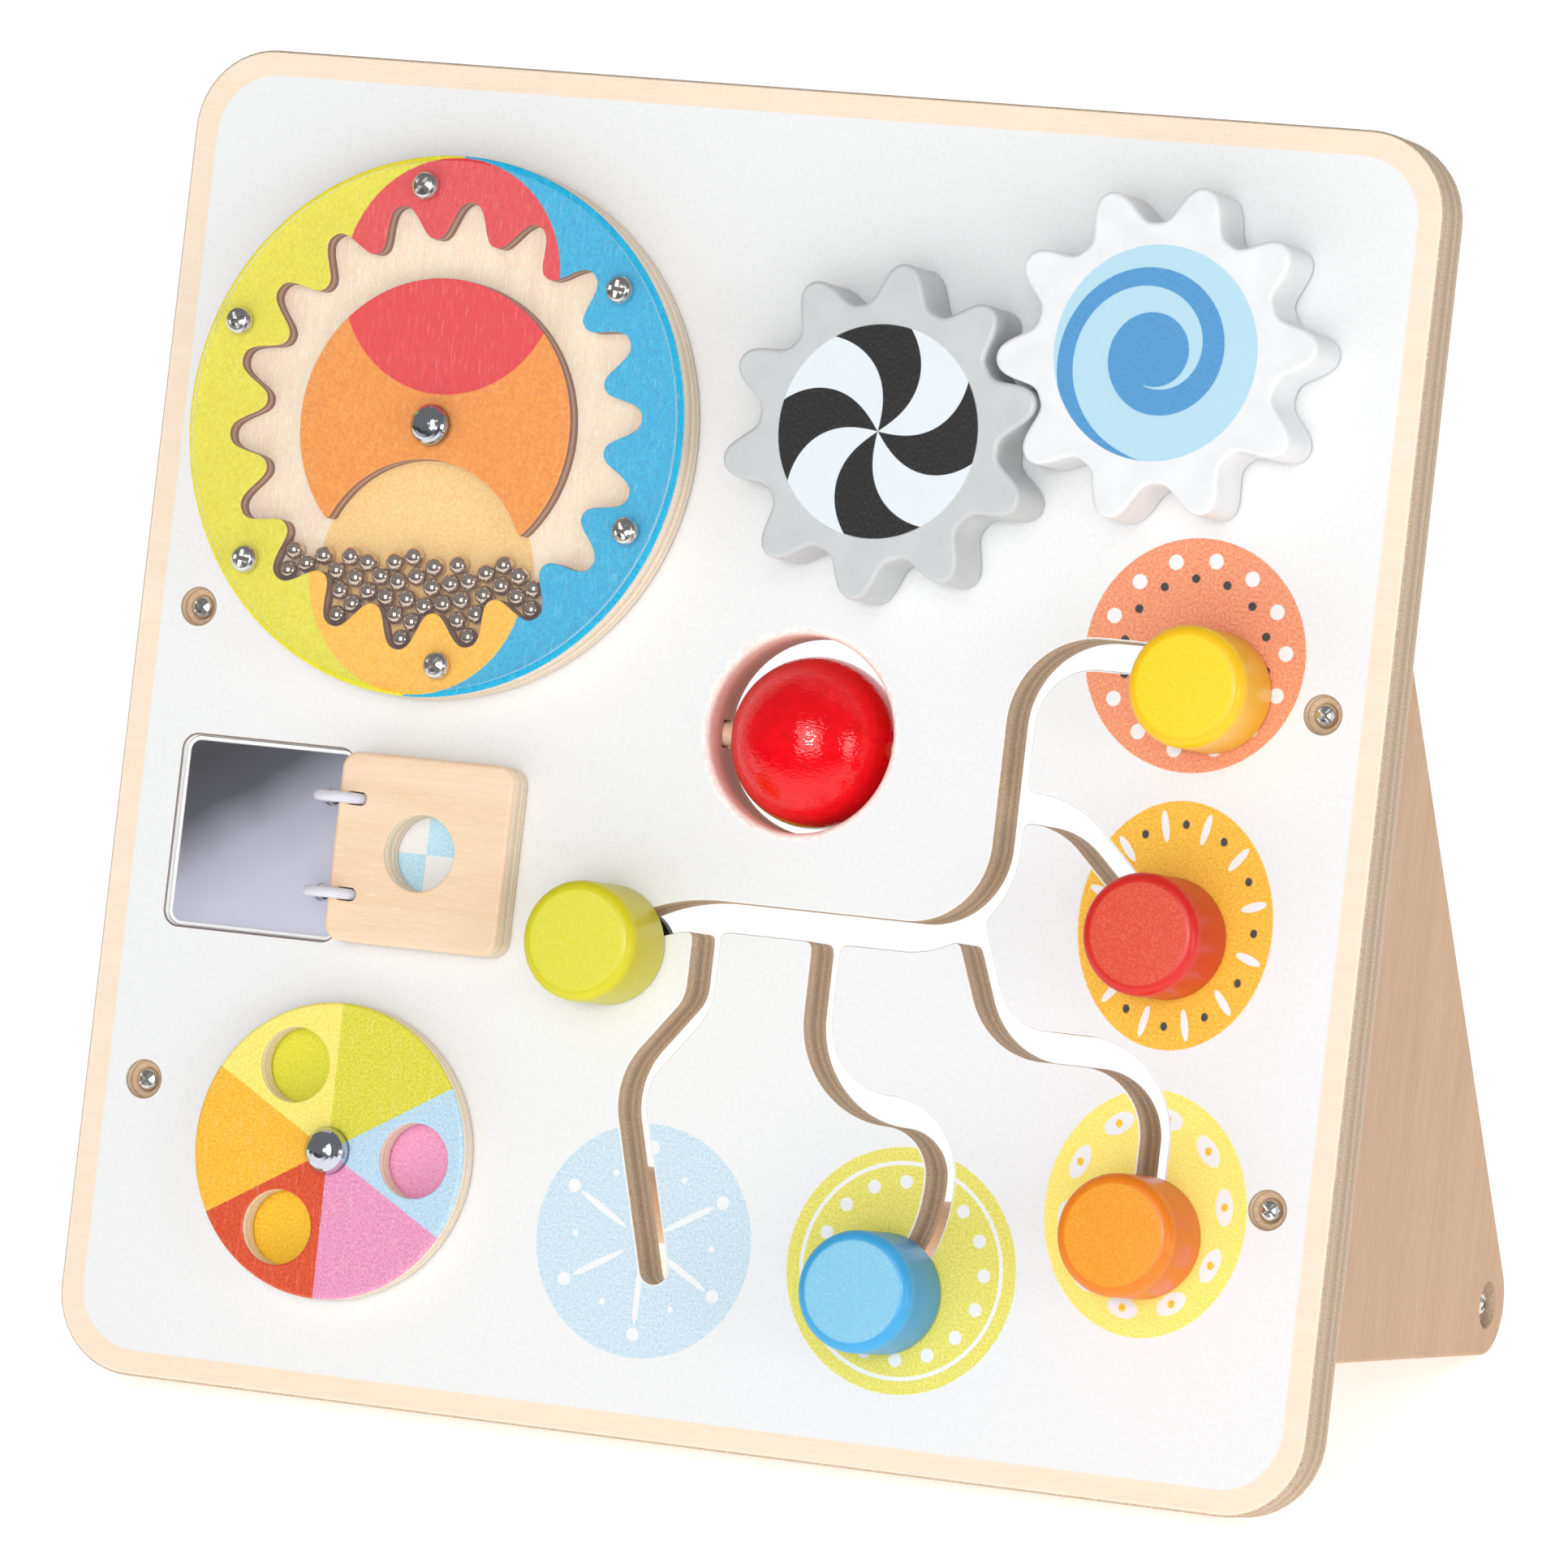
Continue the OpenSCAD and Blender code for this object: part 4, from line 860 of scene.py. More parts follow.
def makePanel(side, name, node, finishes):
    # The outline lies in the board's y and z, and the thickness runs along x
    s = panelSet
    foot = footCentre()
    against = -boardSet["thick"]
    loop = cornerLoop([(s["high"], against), s["rear"], (s["low"], against)],
                      [s["tipRound"], s["footRound"], s["tipRound"]], 5)
    area = (loop[:, 0] * np.roll(loop[:, 1], -1) - loop[:, 1] * np.roll(loop[:, 0], -1)).sum()
    loop = loop if area > 0 else loop[::-1]
    top, bottom = s["inset"] * side + s["thick"] / 2, s["inset"] * side - s["thick"] / 2
    slab = Slab()
    head, tail = slab.wall(loop, top, bottom, s["edgeRound"], s["edgeRound"], (0, 1, 0))
    hole = circleLoop(*foot, s["screwHole"], 36)[::-1]
    bore = circleLoop(*foot, s["screwBore"], 24)[::-1]
    # the counterbore opens on the outer face, which is the upper one on the right side only
    if side > 0:
        rim, floor = slab.wall(hole, top, top - s["screwDepth"], s["screwRound"], 0, (0, 1, 1), 3)
        inner, end = slab.wall(bore, top - s["screwDepth"], bottom, marks=(1, 1, 1))
        slab.cap([floor, inner], True, 1)
        slab.cap([head, rim], True, 0)
        slab.cap([tail, end], False, 0)
    else:
        floor, rim = slab.wall(hole, bottom + s["screwDepth"], bottom, 0, s["screwRound"], (1, 1, 0), 3)
        end, inner = slab.wall(bore, top, bottom + s["screwDepth"], marks=(1, 1, 1))
        slab.cap([floor, inner], False, 1)
        slab.cap([head, end], True, 0)
        slab.cap([tail, rim], False, 0)
    points, faces, marks = slab.mesh()
    addPiece(name, points[:, [2, 0, 1]], faces, marks, finishes, "stand_board", (node,), "birch")


def panelPly():
    # Ply edge of a side panel: its layers run through the thickness, along the board's x
    f = Finish("panelPly", 0.62)
    place = f.onBoard()
    x, y, z = f.split(place)
    inward = f.calc("SUBTRACT", f.calc("ABSOLUTE", x), panelSet["inset"] + panelSet["thick"] / 2)
    colour, fibre = veneers(f, f.join(y, z, inward), wood["plyLight"], wood["plyDark"], panelSet["thick"])
    f.bump(fibre, 0.25)
    return f.finish(colour)


panelFace = bareFace("panelFace", "y", wood["panel"], wood["panelStreak"], 0.6)
panelEdge = panelPly()
makePanel(-1, "leftPanel", "left_side_panel", [panelFace, panelEdge])
makePanel(1, "rightPanel", "right_side_panel", [panelFace, panelEdge])


def turnedWood(name, roughness, coat, coatRoughness, fleck):  # bars and pegs, grain along their length
    f = Finish(name, roughness, coat, coatRoughness)
    colour, lines = grain(f, f.onBoard(), "x", wood["birch"], wood["birchStreak"], fleck)
    f.bump(lines, 0.2)
    return f.finish(colour)


def makeCrossbar():
    half, radius = panelSet["inset"] - panelSet["thick"] / 2, panelSet["barRadius"]
    profile = np.array([(0, -half), (radius, -half), (radius, half), (0, half)])
    addPiece("crossbar", *lathe(profile, (0, *footCentre()), 48, "x"),
             [turnedWood("crossbarWood", 0.5, 0.05, 0.4, 0.5)], "stand_board", ("rear_crossbar",), "birch")


makeCrossbar()
print("side panels made")


# Ball drum

drumSet = {
    "radius": 68.5, "baseLevel": 0.8, "ringLevel": 5.8, "coverLevel": 11.0, "coverLow": 11.03,
    "coverTop": 13.0, "coverRadius": 67.0, "coverRound": 0.3, "edgeRound": 0.6, "frontRound": 0.25,
    "layerRound": 0.15, "lobes": 18, "lobeLow": 47.4, "lobeHigh": 57.0, "lobePhase": 86.5,
    "hubRadius": 37.4, "biteRadius": 29.0, "biteDrop": 37.5, "hornSoft": 0.9, "screwRadius": 60.8,
    "screwPhase": 38.6, "screwHole": 1.55, "bolt": 3.1, "artReach": 38, "artRadius": 30,
}


def drumPrint(name, layer):
    # Drum print. Ring: lime on the left, blue on the right, a red disc above and an amber one
    # below. Hub: the red disc on orange. Floor of the drum: the amber disc on wood.
    f = Finish(name, 0.38, 0.15, 0.2)
    place = f.onBoard((drumAt[0], drumAt[1], 0))
    flat = f.flat(place)
    speck = f.noise(place, 1.1, 3.0, 0.6)

    def spot(side):  # the printed disc above the bolt, or the one below it
        return f.disc(flat, 0, side * drumSet["artReach"], drumSet["artRadius"])

    if layer == "base":
        colour, lines = grain(f, place, "y", wood["floor"], wood["floorStreak"], 0.9)
        colour = f.mix(spot(-1), colour, tint(250, 206, 132))
    else:
        lines = f.noise(f.mapped(place, scale=(2.2, 0.22, 2.2)), 1.0, 2.0)
        if layer == "ring":
            right = f.inside(f.calc("MULTIPLY", f.split(flat)[0], -1.0), 0.2)
            colour = f.mix(right, tint(226, 217, 40), tint(0, 171, 215))
            colour = f.mix(spot(-1), colour, tint(249, 187, 53))
            colour = f.mix(spot(1), colour, tint(225, 54, 57))
        else:
            colour = f.mix(spot(1), tint(238, 145, 34), tint(227, 34, 36))
        colour = f.mix(f.grade(lines, 0.55, 0.72, 0.0, 0.09), colour, tint(250, 240, 220))
    colour = f.speckled(colour, place, 0.4)
    f.bump(f.calc("ADD", lines, f.calc("MULTIPLY", speck, 0.4)), 0.15)
    return f.finish(colour, f.grade(speck, 0.3, 0.7, 0.32, 0.46))


def innerWall(name, centre):
    # Routed inner wall: brown, with one paler line along its middle
    f = Finish(name, 0.6)
    place = f.onBoard(centre)
    wander = f.noise(f.mapped(place, scale=(0.06, 0.06, 0.1)), 1.0, 2.0)
    level = f.calc("ADD", f.split(place)[2], f.calc("MULTIPLY", wander, 0.5))
    colour = f.ramp(f.grade(level, drumSet["ringLevel"] + 0.1, drumSet["coverLevel"] + 0.4),
                    [(0.0, tint(120, 76, 58)), (0.3, tint(134, 88, 70)), (0.48, tint(188, 146, 116)),
                     (0.6, tint(182, 138, 108)), (0.72, tint(128, 82, 66)), (1.0, tint(150, 98, 78))])
    fibre = f.noise(f.mapped(place, scale=(0.8, 0.8, 4.0)), 1.0, 3.0)
    f.bump(fibre, 0.3)
    return f.finish(colour)


def outerWall(name, high, depth):
    # Outer wall of a disc or a flap: pale ply layers down from its front
    f = Finish(name, 0.6)
    colour, fibre = veneers(f, f.onBoard((0, 0, high)), wood["rimLight"], wood["rimDark"], depth)
    f.bump(fibre, 0.25)
    return f.finish(colour)


discWall = outerWall("discWall", drumSet["coverLevel"], drumSet["coverLevel"] - drumSet["baseLevel"])
drumWall = innerWall("routedWall", (drumAt[0], drumAt[1], 0))


def drumLayer(name, node, levels, loops, screws, rounds, finishes, slot, foot):
    # One layer of the drum between two levels: a wall round each loop and round each screw's hole
    s = drumSet
    low, high = levels
    slab = Slab()
    for loop, marks in loops:
        slab.through(loop, high, low, *rounds, marks, 3)
    for k in range(6) if screws else ():
        angle = math.radians(s["screwPhase"] + 60 * k)
        slab.through(circleLoop(drumAt[0] + s["screwRadius"] * math.cos(angle),
                                drumAt[1] + s["screwRadius"] * math.sin(angle), s["screwHole"], 20)[::-1],
                     high, low, marks=(1, 1, 1))
    slab.close(0, foot)
    addPiece(name, *slab.mesh(), finishes, "ball_drum", (node,), slot)


def hubOutline():
    # A disc with a round bite out of its lower side, its two horns slightly softened
    s = drumSet
    x, y = drumAt[:2]
    half = math.degrees(math.acos((s["hubRadius"] ** 2 + s["biteDrop"] ** 2 - s["biteRadius"] ** 2)
                                  / (2 * s["hubRadius"] * s["biteDrop"])))
    outer = arc(x, y, s["hubRadius"], -90 + half, 270 - half, 150)
    tip = outer[-1] - (x, y - s["biteDrop"])
    lean = math.degrees(math.atan2(tip[1], tip[0]))
    bite = arc(x, y - s["biteDrop"], s["biteRadius"], lean, 180 - lean, 80)[1:-1]
    hub = evenLoop(np.concatenate([outer, bite]), 0.25)[0]
    horns = [int(np.argmin(np.linalg.norm(hub - point, axis=1))) for point in (outer[0], outer[-1])]
    return evenLoop(softened(hub, np.array(horns), s["hornSoft"]), 0.8)[0]


def makeDrum():
    s = drumSet
    x, y = drumAt[:2]
    bolt = (circleLoop(x, y, s["bolt"], 32)[::-1], (1, 1, 1))
    rim = circleLoop(x, y, s["radius"], 160)
    lobes = waveLoop(x, y, s["lobes"], s["lobeLow"], s["lobeHigh"], s["lobePhase"], 0, 36)[::-1]
    front = (s["ringLevel"], s["coverLevel"])
    rounds = (s["frontRound"], s["layerRound"])
    drumLayer("drumBase", "drum_base", (s["baseLevel"], s["ringLevel"]), [(rim, (0, 1, 2)), bolt], False,
              (s["layerRound"], s["edgeRound"]), [drumPrint("drumFloor", "base"), discWall, boardBack],
              "birch", 2)
    drumLayer("drumRing", "drum_ring", front, [(rim, (0, 1, 1)), (lobes, (0, 2, 2))], True, rounds,
              [drumPrint("ringPrint", "ring"), discWall, drumWall], "lime_print", 2)
    drumLayer("drumHub", "drum_hub", front, [(hubOutline(), (0, 1, 1)), bolt], False, rounds,
              [drumPrint("hubPrint", "hub"), drumWall], "hub_print", 1)
    drumLayer("drumCover", "drum_cover", (s["coverLow"], s["coverTop"]),
              [(circleLoop(x, y, s["coverRadius"], 160), (0, 1, 0)), bolt], True, (s["coverRound"],) * 2,
              [clearSheet(), clearRim()], "clear_acrylic", 0)


acrylicIndex = 1.49


def clearSheet():
    # Clear acrylic: almost nothing but its gloss, with faint hairline scratches
    f = Finish("clearSheet", 0.06)
    scratch = f.noise(f.mapped(f.onBoard(), scale=(0.4, 5.0, 1.0)), 1.0, 4.0, 0.7)
    f.shader.inputs["Alpha"].default_value = 0.035
    f.shader.inputs["IOR"].default_value = acrylicIndex
    f.bump(scratch, 0.02)
    return f.finish(f.mix(f.grade(scratch, 0.6, 0.8), tint(250, 252, 255), tint(255, 255, 255)),
                    f.grade(scratch, 0.4, 0.8, 0.04, 0.12))


def clearRim():
    # the cover's edge: half opaque and near white, a painted highlight for the bright line along it
    f = Finish("clearRim", 0.15)
    haze = f.noise(f.onBoard(), 1.5, 2.0)
    f.shader.inputs["Alpha"].default_value = 0.45
    f.shader.inputs["IOR"].default_value = acrylicIndex
    return f.finish(f.mix(haze, tint(236, 244, 250), tint(255, 255, 255)), f.grade(haze, 0.3, 0.7, 0.1, 0.25))


makeDrum()
print("drum made")


# Spinner

spinnerSet = {"radius": 37.4, "low": 0.8, "high": 7.3, "holeRadius": 9.5, "holeReach": 23.8,
              "edgeRound": 0.8, "holeRound": 0.4, "bolt": 3.1, "sectorsStart": 30.6}


def spinnerPrint():
    # Six sectors of sixty degrees, each laid over the one before it
    f = Finish("spinnerPrint", 0.4, 0.12, 0.22)
    place = f.onBoard((spinnerAt[0], spinnerAt[1], 0))
    radius, angle = f.polar(f.flat(place))
    sixth = f.sector(angle, spinnerSet["sectorsStart"], 60)
    shades = [tint(217, 212, 65), tint(243, 228, 112), tint(247, 185, 51), tint(216, 78, 40),
              tint(229, 149, 187), tint(182, 213, 232)]
    colour = shades[0]
    for k, shade in enumerate(shades[1:], 1):
        edge = f.grade(f.calc("MULTIPLY", f.calc("SUBTRACT", sixth, float(k)), radius), -0.12, 0.12)
        colour = f.mix(edge, colour, shade)
    lines = f.noise(f.mapped(place, scale=(2.0, 0.2, 2.0)), 1.0, 2.0)
    speck = f.noise(place, 1.2, 3.0, 0.6)
    colour = f.mix(f.grade(lines, 0.58, 0.74, 0.0, 0.14), colour, tint(252, 244, 226))
    colour = f.speckled(colour, place, 0.5)
    f.bump(f.calc("ADD", lines, f.calc("MULTIPLY", speck, 0.4)), 0.15)
    return f.finish(colour, f.grade(speck, 0.3, 0.7, 0.34, 0.48))


def makeSpinner():
    s = spinnerSet
    x, y = spinnerAt[:2]
    levels = (s["high"], s["low"])
    slab = Slab()
    slab.through(circleLoop(x, y, s["radius"], 140), *levels, s["edgeRound"], s["edgeRound"], (0, 1, 1))
    for k in range(3):
        angle = math.radians(120 * k)
        hole = circleLoop(x + s["holeReach"] * math.cos(angle), y + s["holeReach"] * math.sin(angle),
                          s["holeRadius"], 56)[::-1]
        slab.through(hole, *levels, s["holeRound"], s["holeRound"], (0, 1, 1), 3)
    slab.through(circleLoop(x, y, s["bolt"], 32)[::-1], *levels, marks=(1, 1, 1))
    slab.close(0, 2)
    edge = outerWall("spinnerEdge", s["high"], s["high"] - s["low"])
    addPiece("spinnerDisc", *slab.mesh(), [spinnerPrint(), edge, boardBack], "spinner", ("spinner_disc",),
             "spinner_print")


makeSpinner()
print("spinner made")


# Gears

gearSet = {"teeth": 10, "low": 32.2, "high": 42.0, "slim": 0.15, "base": 0.8, "top": 18.0, "edgeRound": 1.1,
           "pinHole": 5.05, "pinDepth": 12.0, "greyPhase": 86.8, "whitePhase": 150.2, "printRadius": 26.6}
pinwheel = {"blades": 4, "start": 0.646, "sweep": 0.7, "sweepPower": 1.7}
# Each edge of the spiral: its radius at the tip, how far it has risen after a turn, and the power
# of the share of a turn by which it rises
spiral = {"start": -105, "armIn": (8.4, 6.4, 2.4), "armOut": (8.6, 16.9, 1.35), "rimIn": (14.8, 10.0, 1.0),
          "rimLift": (6.0, 4.0), "rimOut": (25.5, 30.0, 1.0)}


def gearPaint(name, centre, base, drawArt, relief):
    # Satin paint, slightly uneven, with a printed disc whose pores show; drawArt gives its colour
    f = Finish(name, 0.42, 0.2, 0.2)
    place = f.onBoard((centre[0], centre[1], 0))
    speck = f.noise(place, 1.6, 3.0, 0.65)
    soft = f.noise(place, 0.12, 2.0)
    low = tuple(part * 0.93 for part in base[:3]) + (1.0,)
    colour = f.mix(f.grade(soft, 0.35, 0.7), base, low)
    pores = f.noise(f.mapped(place, scale=(4.0, 1.2, 4.0)), 1.0, 3.0, 0.7)
    radius, angle = f.polar(place)
    art = drawArt(f, radius, angle, pores)
    colour = f.mix(f.below(radius, gearSet["printRadius"]), colour, art)
    f.bump(f.calc("ADD", speck, pores), relief)
    return f.finish(colour, f.grade(speck, 0.3, 0.7, 0.36, 0.5))


def drawPinwheel(f, radius, angle, pores):
    # Dark and pale blades by turns, each swept round as it runs out
    p = pinwheel
    out = f.calc("POWER", f.calc("DIVIDE", radius, gearSet["printRadius"]), p["sweepPower"])
    sweep = f.calc("ADD", f.calc("MULTIPLY", out, p["sweep"]), p["start"])
    wave = f.calc("SINE", f.calc("MULTIPLY", f.calc("SUBTRACT", angle, sweep), float(p["blades"])))
    blade = f.inside(f.calc("MULTIPLY", f.calc("MULTIPLY", wave, radius), -1 / p["blades"]), 0.12)
    dark = f.mix(f.grade(pores, 0.5, 0.68, 0.0, 0.6), tint(28, 26, 28), tint(84, 80, 82))
    return f.mix(blade, tint(225, 232, 237), dark)


def drawSpiral(f, radius, angle, pores):
    # A pale arm starts as a tip beside the deep blue centre and widens as it winds outwards, so
    # the deep blue arm outside it thins to a tip at the rim
    share = f.sector(angle, spiral["start"], 360)

    def edge(name):
        start, rise, power = spiral[name]
        return f.calc("MULTIPLY_ADD", f.calc("POWER", share, power), rise, start)

    def between(low, high):  # 1 between two edges
        return f.both(f.below(low, radius), f.below(radius, high))

    lift, power = spiral["rimLift"]
    outer = f.calc("ADD", edge("rimIn"), f.calc("MULTIPLY", f.calc("POWER", share, power), lift))
    pale = f.calc("MAXIMUM", between(edge("armIn"), edge("armOut")), between(outer, edge("rimOut")))
    swirl = f.mix(pale, tint(72, 147, 201), tint(177, 214, 230))
    return f.mix(f.grade(pores, 0.52, 0.7, 0.0, 0.22), swirl, tint(206, 228, 242))


def makeGear(colour, centre, finish):
    s = gearSet
    x, y = centre[:2]
    slab = Slab()
    wavy = waveLoop(x, y, s["teeth"], s["low"], s["high"], s[f"{colour}Phase"], s["slim"], 60)
    head, tail = slab.wall(evenLoop(wavy, 1.0)[0], s["top"], s["base"], s["edgeRound"], s["edgeRound"],
                           (0, 0, 0), 5)
    inner, end = slab.wall(circleLoop(x, y, s["pinHole"], 36)[::-1], s["base"] + s["pinDepth"], s["base"])
    slab.cap([head], True, 0)
    slab.cap([inner], False, 0)
    slab.cap([tail, end], False, 0)
    addPiece(f"{colour}Gear", *slab.mesh(), [finish], f"{colour}_gear_and_pin", (f"{colour}_gear",),
             f"{colour}_print")


greyPaint = gearPaint("greyGearPrint", greyGearAt, tint(200, 204, 205), drawPinwheel, 0.2)
whitePaint = gearPaint("whiteGearPrint", whiteGearAt, tint(234, 235, 237), drawSpiral, 0.16)
makeGear("grey", greyGearAt, greyPaint)
makeGear("white", whiteGearAt, whitePaint)
print("gears made")


# Rolling ball

ballSet = {"radius": 21.6, "bore": 3.1, "capWay": (-0.276, -0.867, -0.414), "capLevel": 15.5,
           "peelStretch": (0.7, 1.6, 1.2)}


def ballPaint():
    # Glossy lacquer with dimples: red, with an amber cap low on its far side
    f = Finish("ballPaint", 0.06)
    place = f.onBoard(ballAt)
    peel = f.noise(f.mapped(place, scale=ballSet["peelStretch"]), 1.0, 1.0)
    mottle = f.noise(place, 0.4, 3.0)
    reach = f.vector("DOT_PRODUCT", place, ballSet["capWay"], output=1)
    red = f.mix(f.grade(mottle, 0.3, 0.7), tint(238, 4, 22), tint(222, 0, 16))
    cap = f.grade(reach, ballSet["capLevel"] - 0.2, ballSet["capLevel"] + 0.2)
    colour = f.mix(cap, red, tint(250, 176, 40))
    f.bump(peel, 0.75, 0.00016)
    return f.finish(colour, f.grade(mottle, 0.3, 0.7, 0.05, 0.08))


def makeBall():  # a round profile from one mouth of the bore to the other, and back through the bore
    half = math.degrees(math.asin(ballSet["bore"] / ballSet["radius"]))
    skin = arc(0, 0, ballSet["radius"], 180 - half, half, 60)[:, ::-1]
    addPiece("rollingBall", *lathe(np.concatenate([skin, skin[:1]]), ballAt, 96, "x"), [ballPaint()],
             "ball", ("rolling_ball",), "ball_paint")


makeBall()
print("ball made")


# Flap

flapSet = {"size": 48.0, "low": 0.3, "high": 9.3, "corner": 4.5, "left": -103.5, "y": 139.6, "holeX": -79.5,
           "holeRadius": 9.7, "holeRound": 0.4, "windowX": (-101.494, -95.5), "windowY": (127.5, 151.7),
           "windowHalf": 1.7, "windowRound": 0.25, "edgeRound": 1.1}


def makeFlap():
    s = flapSet
    centre = s["left"] + s["size"] / 2
    width = s["windowX"][1] - s["windowX"][0]
    loops = [(rectLoop(centre, s["y"], s["size"], s["size"], s["corner"]), s["edgeRound"], 4),
             (circleLoop(s["holeX"], s["y"], s["holeRadius"], 64)[::-1], s["holeRound"], 3)]
    for y in s["windowY"]:
        window = rectLoop(sum(s["windowX"]) / 2, y, width, 2 * s["windowHalf"], s["windowHalf"] - 0.05)
        loops.append((window[::-1], s["windowRound"], 2))
    slab = Slab()
    for loop, edgeRound, steps in loops:
        slab.through(loop, s["high"], s["low"], edgeRound, edgeRound, (0, 1, 0), steps)
    slab.close(0, 0)
    edge = outerWall("flapEdge", s["high"], s["high"] - s["low"])
    addPiece("mirrorFlap", *slab.mesh(), [flapFace(), edge], "flap", ("mirror_flap",), "pale_birch")


def flapFace():
    # Pale birch with wavy rings of growth over its straight grain
    f = Finish("flapFace", 0.5, 0.05, 0.4)
    place = f.onBoard()
    bands = f.noise(f.mapped(place, scale=(0.02, 0.09, 0.09)), 1.0, 3.0, 0.5, 1.6)
    colour, lines = grain(f, place, "x", tint(242, 215, 185), tint(233, 198, 161), 0.4)
    rings = f.calc("FRACT", f.calc("MULTIPLY", bands, 9.0))
    colour = f.mix(f.grade(rings, 0.7, 1.0, 0.0, 0.3), colour, tint(232, 192, 152))
    f.bump(f.calc("ADD", lines, rings), 0.15)
    return f.finish(colour, f.grade(lines, 0.3, 0.7, 0.44, 0.58))


makeFlap()
print("flap made")


# Knobs

knobSet = {"radius": 15.1, "low": 0.5, "high": 21.5, "rim": 2.8, "footRim": 0.7, "bore": 3.55,
           "boreDepth": 11.0}
# Each knob's flat front, painted paler in part as the sheen of its grit, and its rim
knobShades = {"lime": ((220, 215, 57), (212, 206, 22)), "yellow": ((250, 210, 0), (250, 198, 0)),
              "red": ((220, 69, 40), (216, 34, 20)), "orange": ((240, 150, 14), (238, 130, 4)),
              "blue": ((128, 196, 228), (60, 166, 220))}


def knobPaint(name, shades, centre):
    # Satin paint: fine grains stand out of the flat front with pale specks that are painted glints, and the
    # side is painted deeper below a smooth rim, a painted shade towards the board
    f = Finish(name, 0.4, 0.16, 0.14)
    s = knobSet
    frontShadeWithSheen, rimShade = shades
    place = f.onBoard(centre)
    z = f.split(place)[2]
    front = f.both(f.below(f.reach(place), s["radius"] - s["rim"] + 0.3, 0.3), f.below(s["high"] - 0.5, z))
    grit = f.noise(place, 1.5, 2.0, 0.7)
    mottle = f.noise(place, 0.35, 3.0, 0.6)
    # pale specks on the flat front's grains: painted glints
    pale = tint(*(255 - (255 - part) * 0.8 for part in frontShadeWithSheen))
    face = f.mix(f.grade(grit, 0.5, 0.66, 0.0, 0.7), tint(*frontShadeWithSheen), pale)
    # the side deepens below the rim towards the board: painted shade; the slow mottle deepens it at random
    most = max(rimShade)
    deep = tint(*(max(0, part - 0.22 * (most - part)) * 0.96 for part in rimShade))
    rim = f.mix(f.grade(z, s["high"] - s["rim"] - 2.0, s["high"] - s["rim"]), deep, tint(*rimShade))
    side = f.mix(f.grade(mottle, 0.3, 0.72, 0.0, 0.4), rim, deep)
    relief = f.both(grit, f.calc("MULTIPLY_ADD", front, 0.9, 0.1))
    f.bump(f.calc("ADD", relief, f.calc("MULTIPLY", mottle, 0.3)), 0.8)
    return f.finish(f.mix(front, side, face), f.grade(front, 0.0, 1.0, 0.4, 0.44))


def makeKnob(colour):
    # A turned knob on its peg: a bore, a foot and a rounded front edge
    s = knobSet
    low, high = (Vector(corner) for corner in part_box(f"{colour}_peg"))
    middle = toBoard([(a + b) / 2 for a, b in zip(low, high)])
    profile = np.concatenate([
        [(0, s["low"] + s["boreDepth"]), (s["bore"], s["low"] + s["boreDepth"]), (s["bore"], s["low"])],
        arc(s["radius"] - s["footRim"], s["low"] + s["footRim"], s["footRim"], -90, 0, 5),
        arc(s["radius"] - s["rim"], s["high"] - s["rim"], s["rim"], 0, 90, 10), [(0, s["high"])]])
    centre = (middle[0], middle[1], 0)
    paint = knobPaint(f"{colour}Paint", knobShades[colour], centre)
    addPiece(f"{colour}Knob", *lathe(profile, centre, 96), [paint], f"{colour}_slider", (f"{colour}_knob",),
             f"{colour}_paint")


for colour in knobShades:
    makeKnob(colour)
print("knobs made")


# Finishes of the pieces that keep their own solids

def metal(name, shade, roughness, brushed):
    f = Finish(name, roughness, 0.0, 0.1, 1.0)
    wear = f.noise(f.onBoard(), 1.2, 3.0, 0.6)
    f.bump(wear, brushed)
    worn = tuple(part * 0.86 for part in shade[:3]) + (1.0,)
    return f.finish(f.mix(f.grade(wear, 0.3, 0.7), shade, worn),
                    f.grade(wear, 0.3, 0.75, roughness * 0.8, roughness * 1.4))


def mirrorGlass():
    # Mirror: a painted reflection of a dark room, dark towards its upper left corner and silvery over the
    # rest, with a clear bright margin that is the painted reflection of the recess's white wall
    f = Finish("mirrorGlass", 0.06)
    centreX, centreY, width, height, corner = boardSet["recess"]
    place = f.onBoard((centreX, centreY, 0))
    x, y = f.split(place)[:2]
    # painted reflection: darker towards the upper left, wandering a little
    fall = f.calc("ADD", f.calc("MULTIPLY", x, 0.55), f.calc("MULTIPLY", y, -0.83))
    haze = f.noise(place, 0.05, 2.0)
    share = f.calc("ADD", fall, f.calc("MULTIPLY", haze, 6.0))
    paintedRoomReflection = f.ramp(f.grade(share, -22.0, 26.0),
                    [(0.0, tint(84, 84, 90)), (0.24, tint(98, 98, 106)), (0.5, tint(190, 191, 207)),
                     (0.75, tint(214, 215, 232)), (1.0, tint(221, 222, 240))])
    rim = f.roundedRect(f.flat(place), width, height, corner)
    # the white margin is a painted reflection of the recess's wall, with a thin dark line along its inner
    # side
    margin = f.below(-1.25, rim, 0.1)
    colour = f.mix(margin, paintedRoomReflection, tint(250, 250, 251))
    colour = f.mix(f.both(f.line(rim, -1.2, 0.12, 0.1), 0.5), colour, tint(120, 112, 110))
    f.feed(f.shader.inputs["Metallic"], f.grade(margin, 0.0, 1.0, 0.25, 0.0))
    return f.finish(colour, f.grade(haze, 0.3, 0.7, 0.04, 0.1))


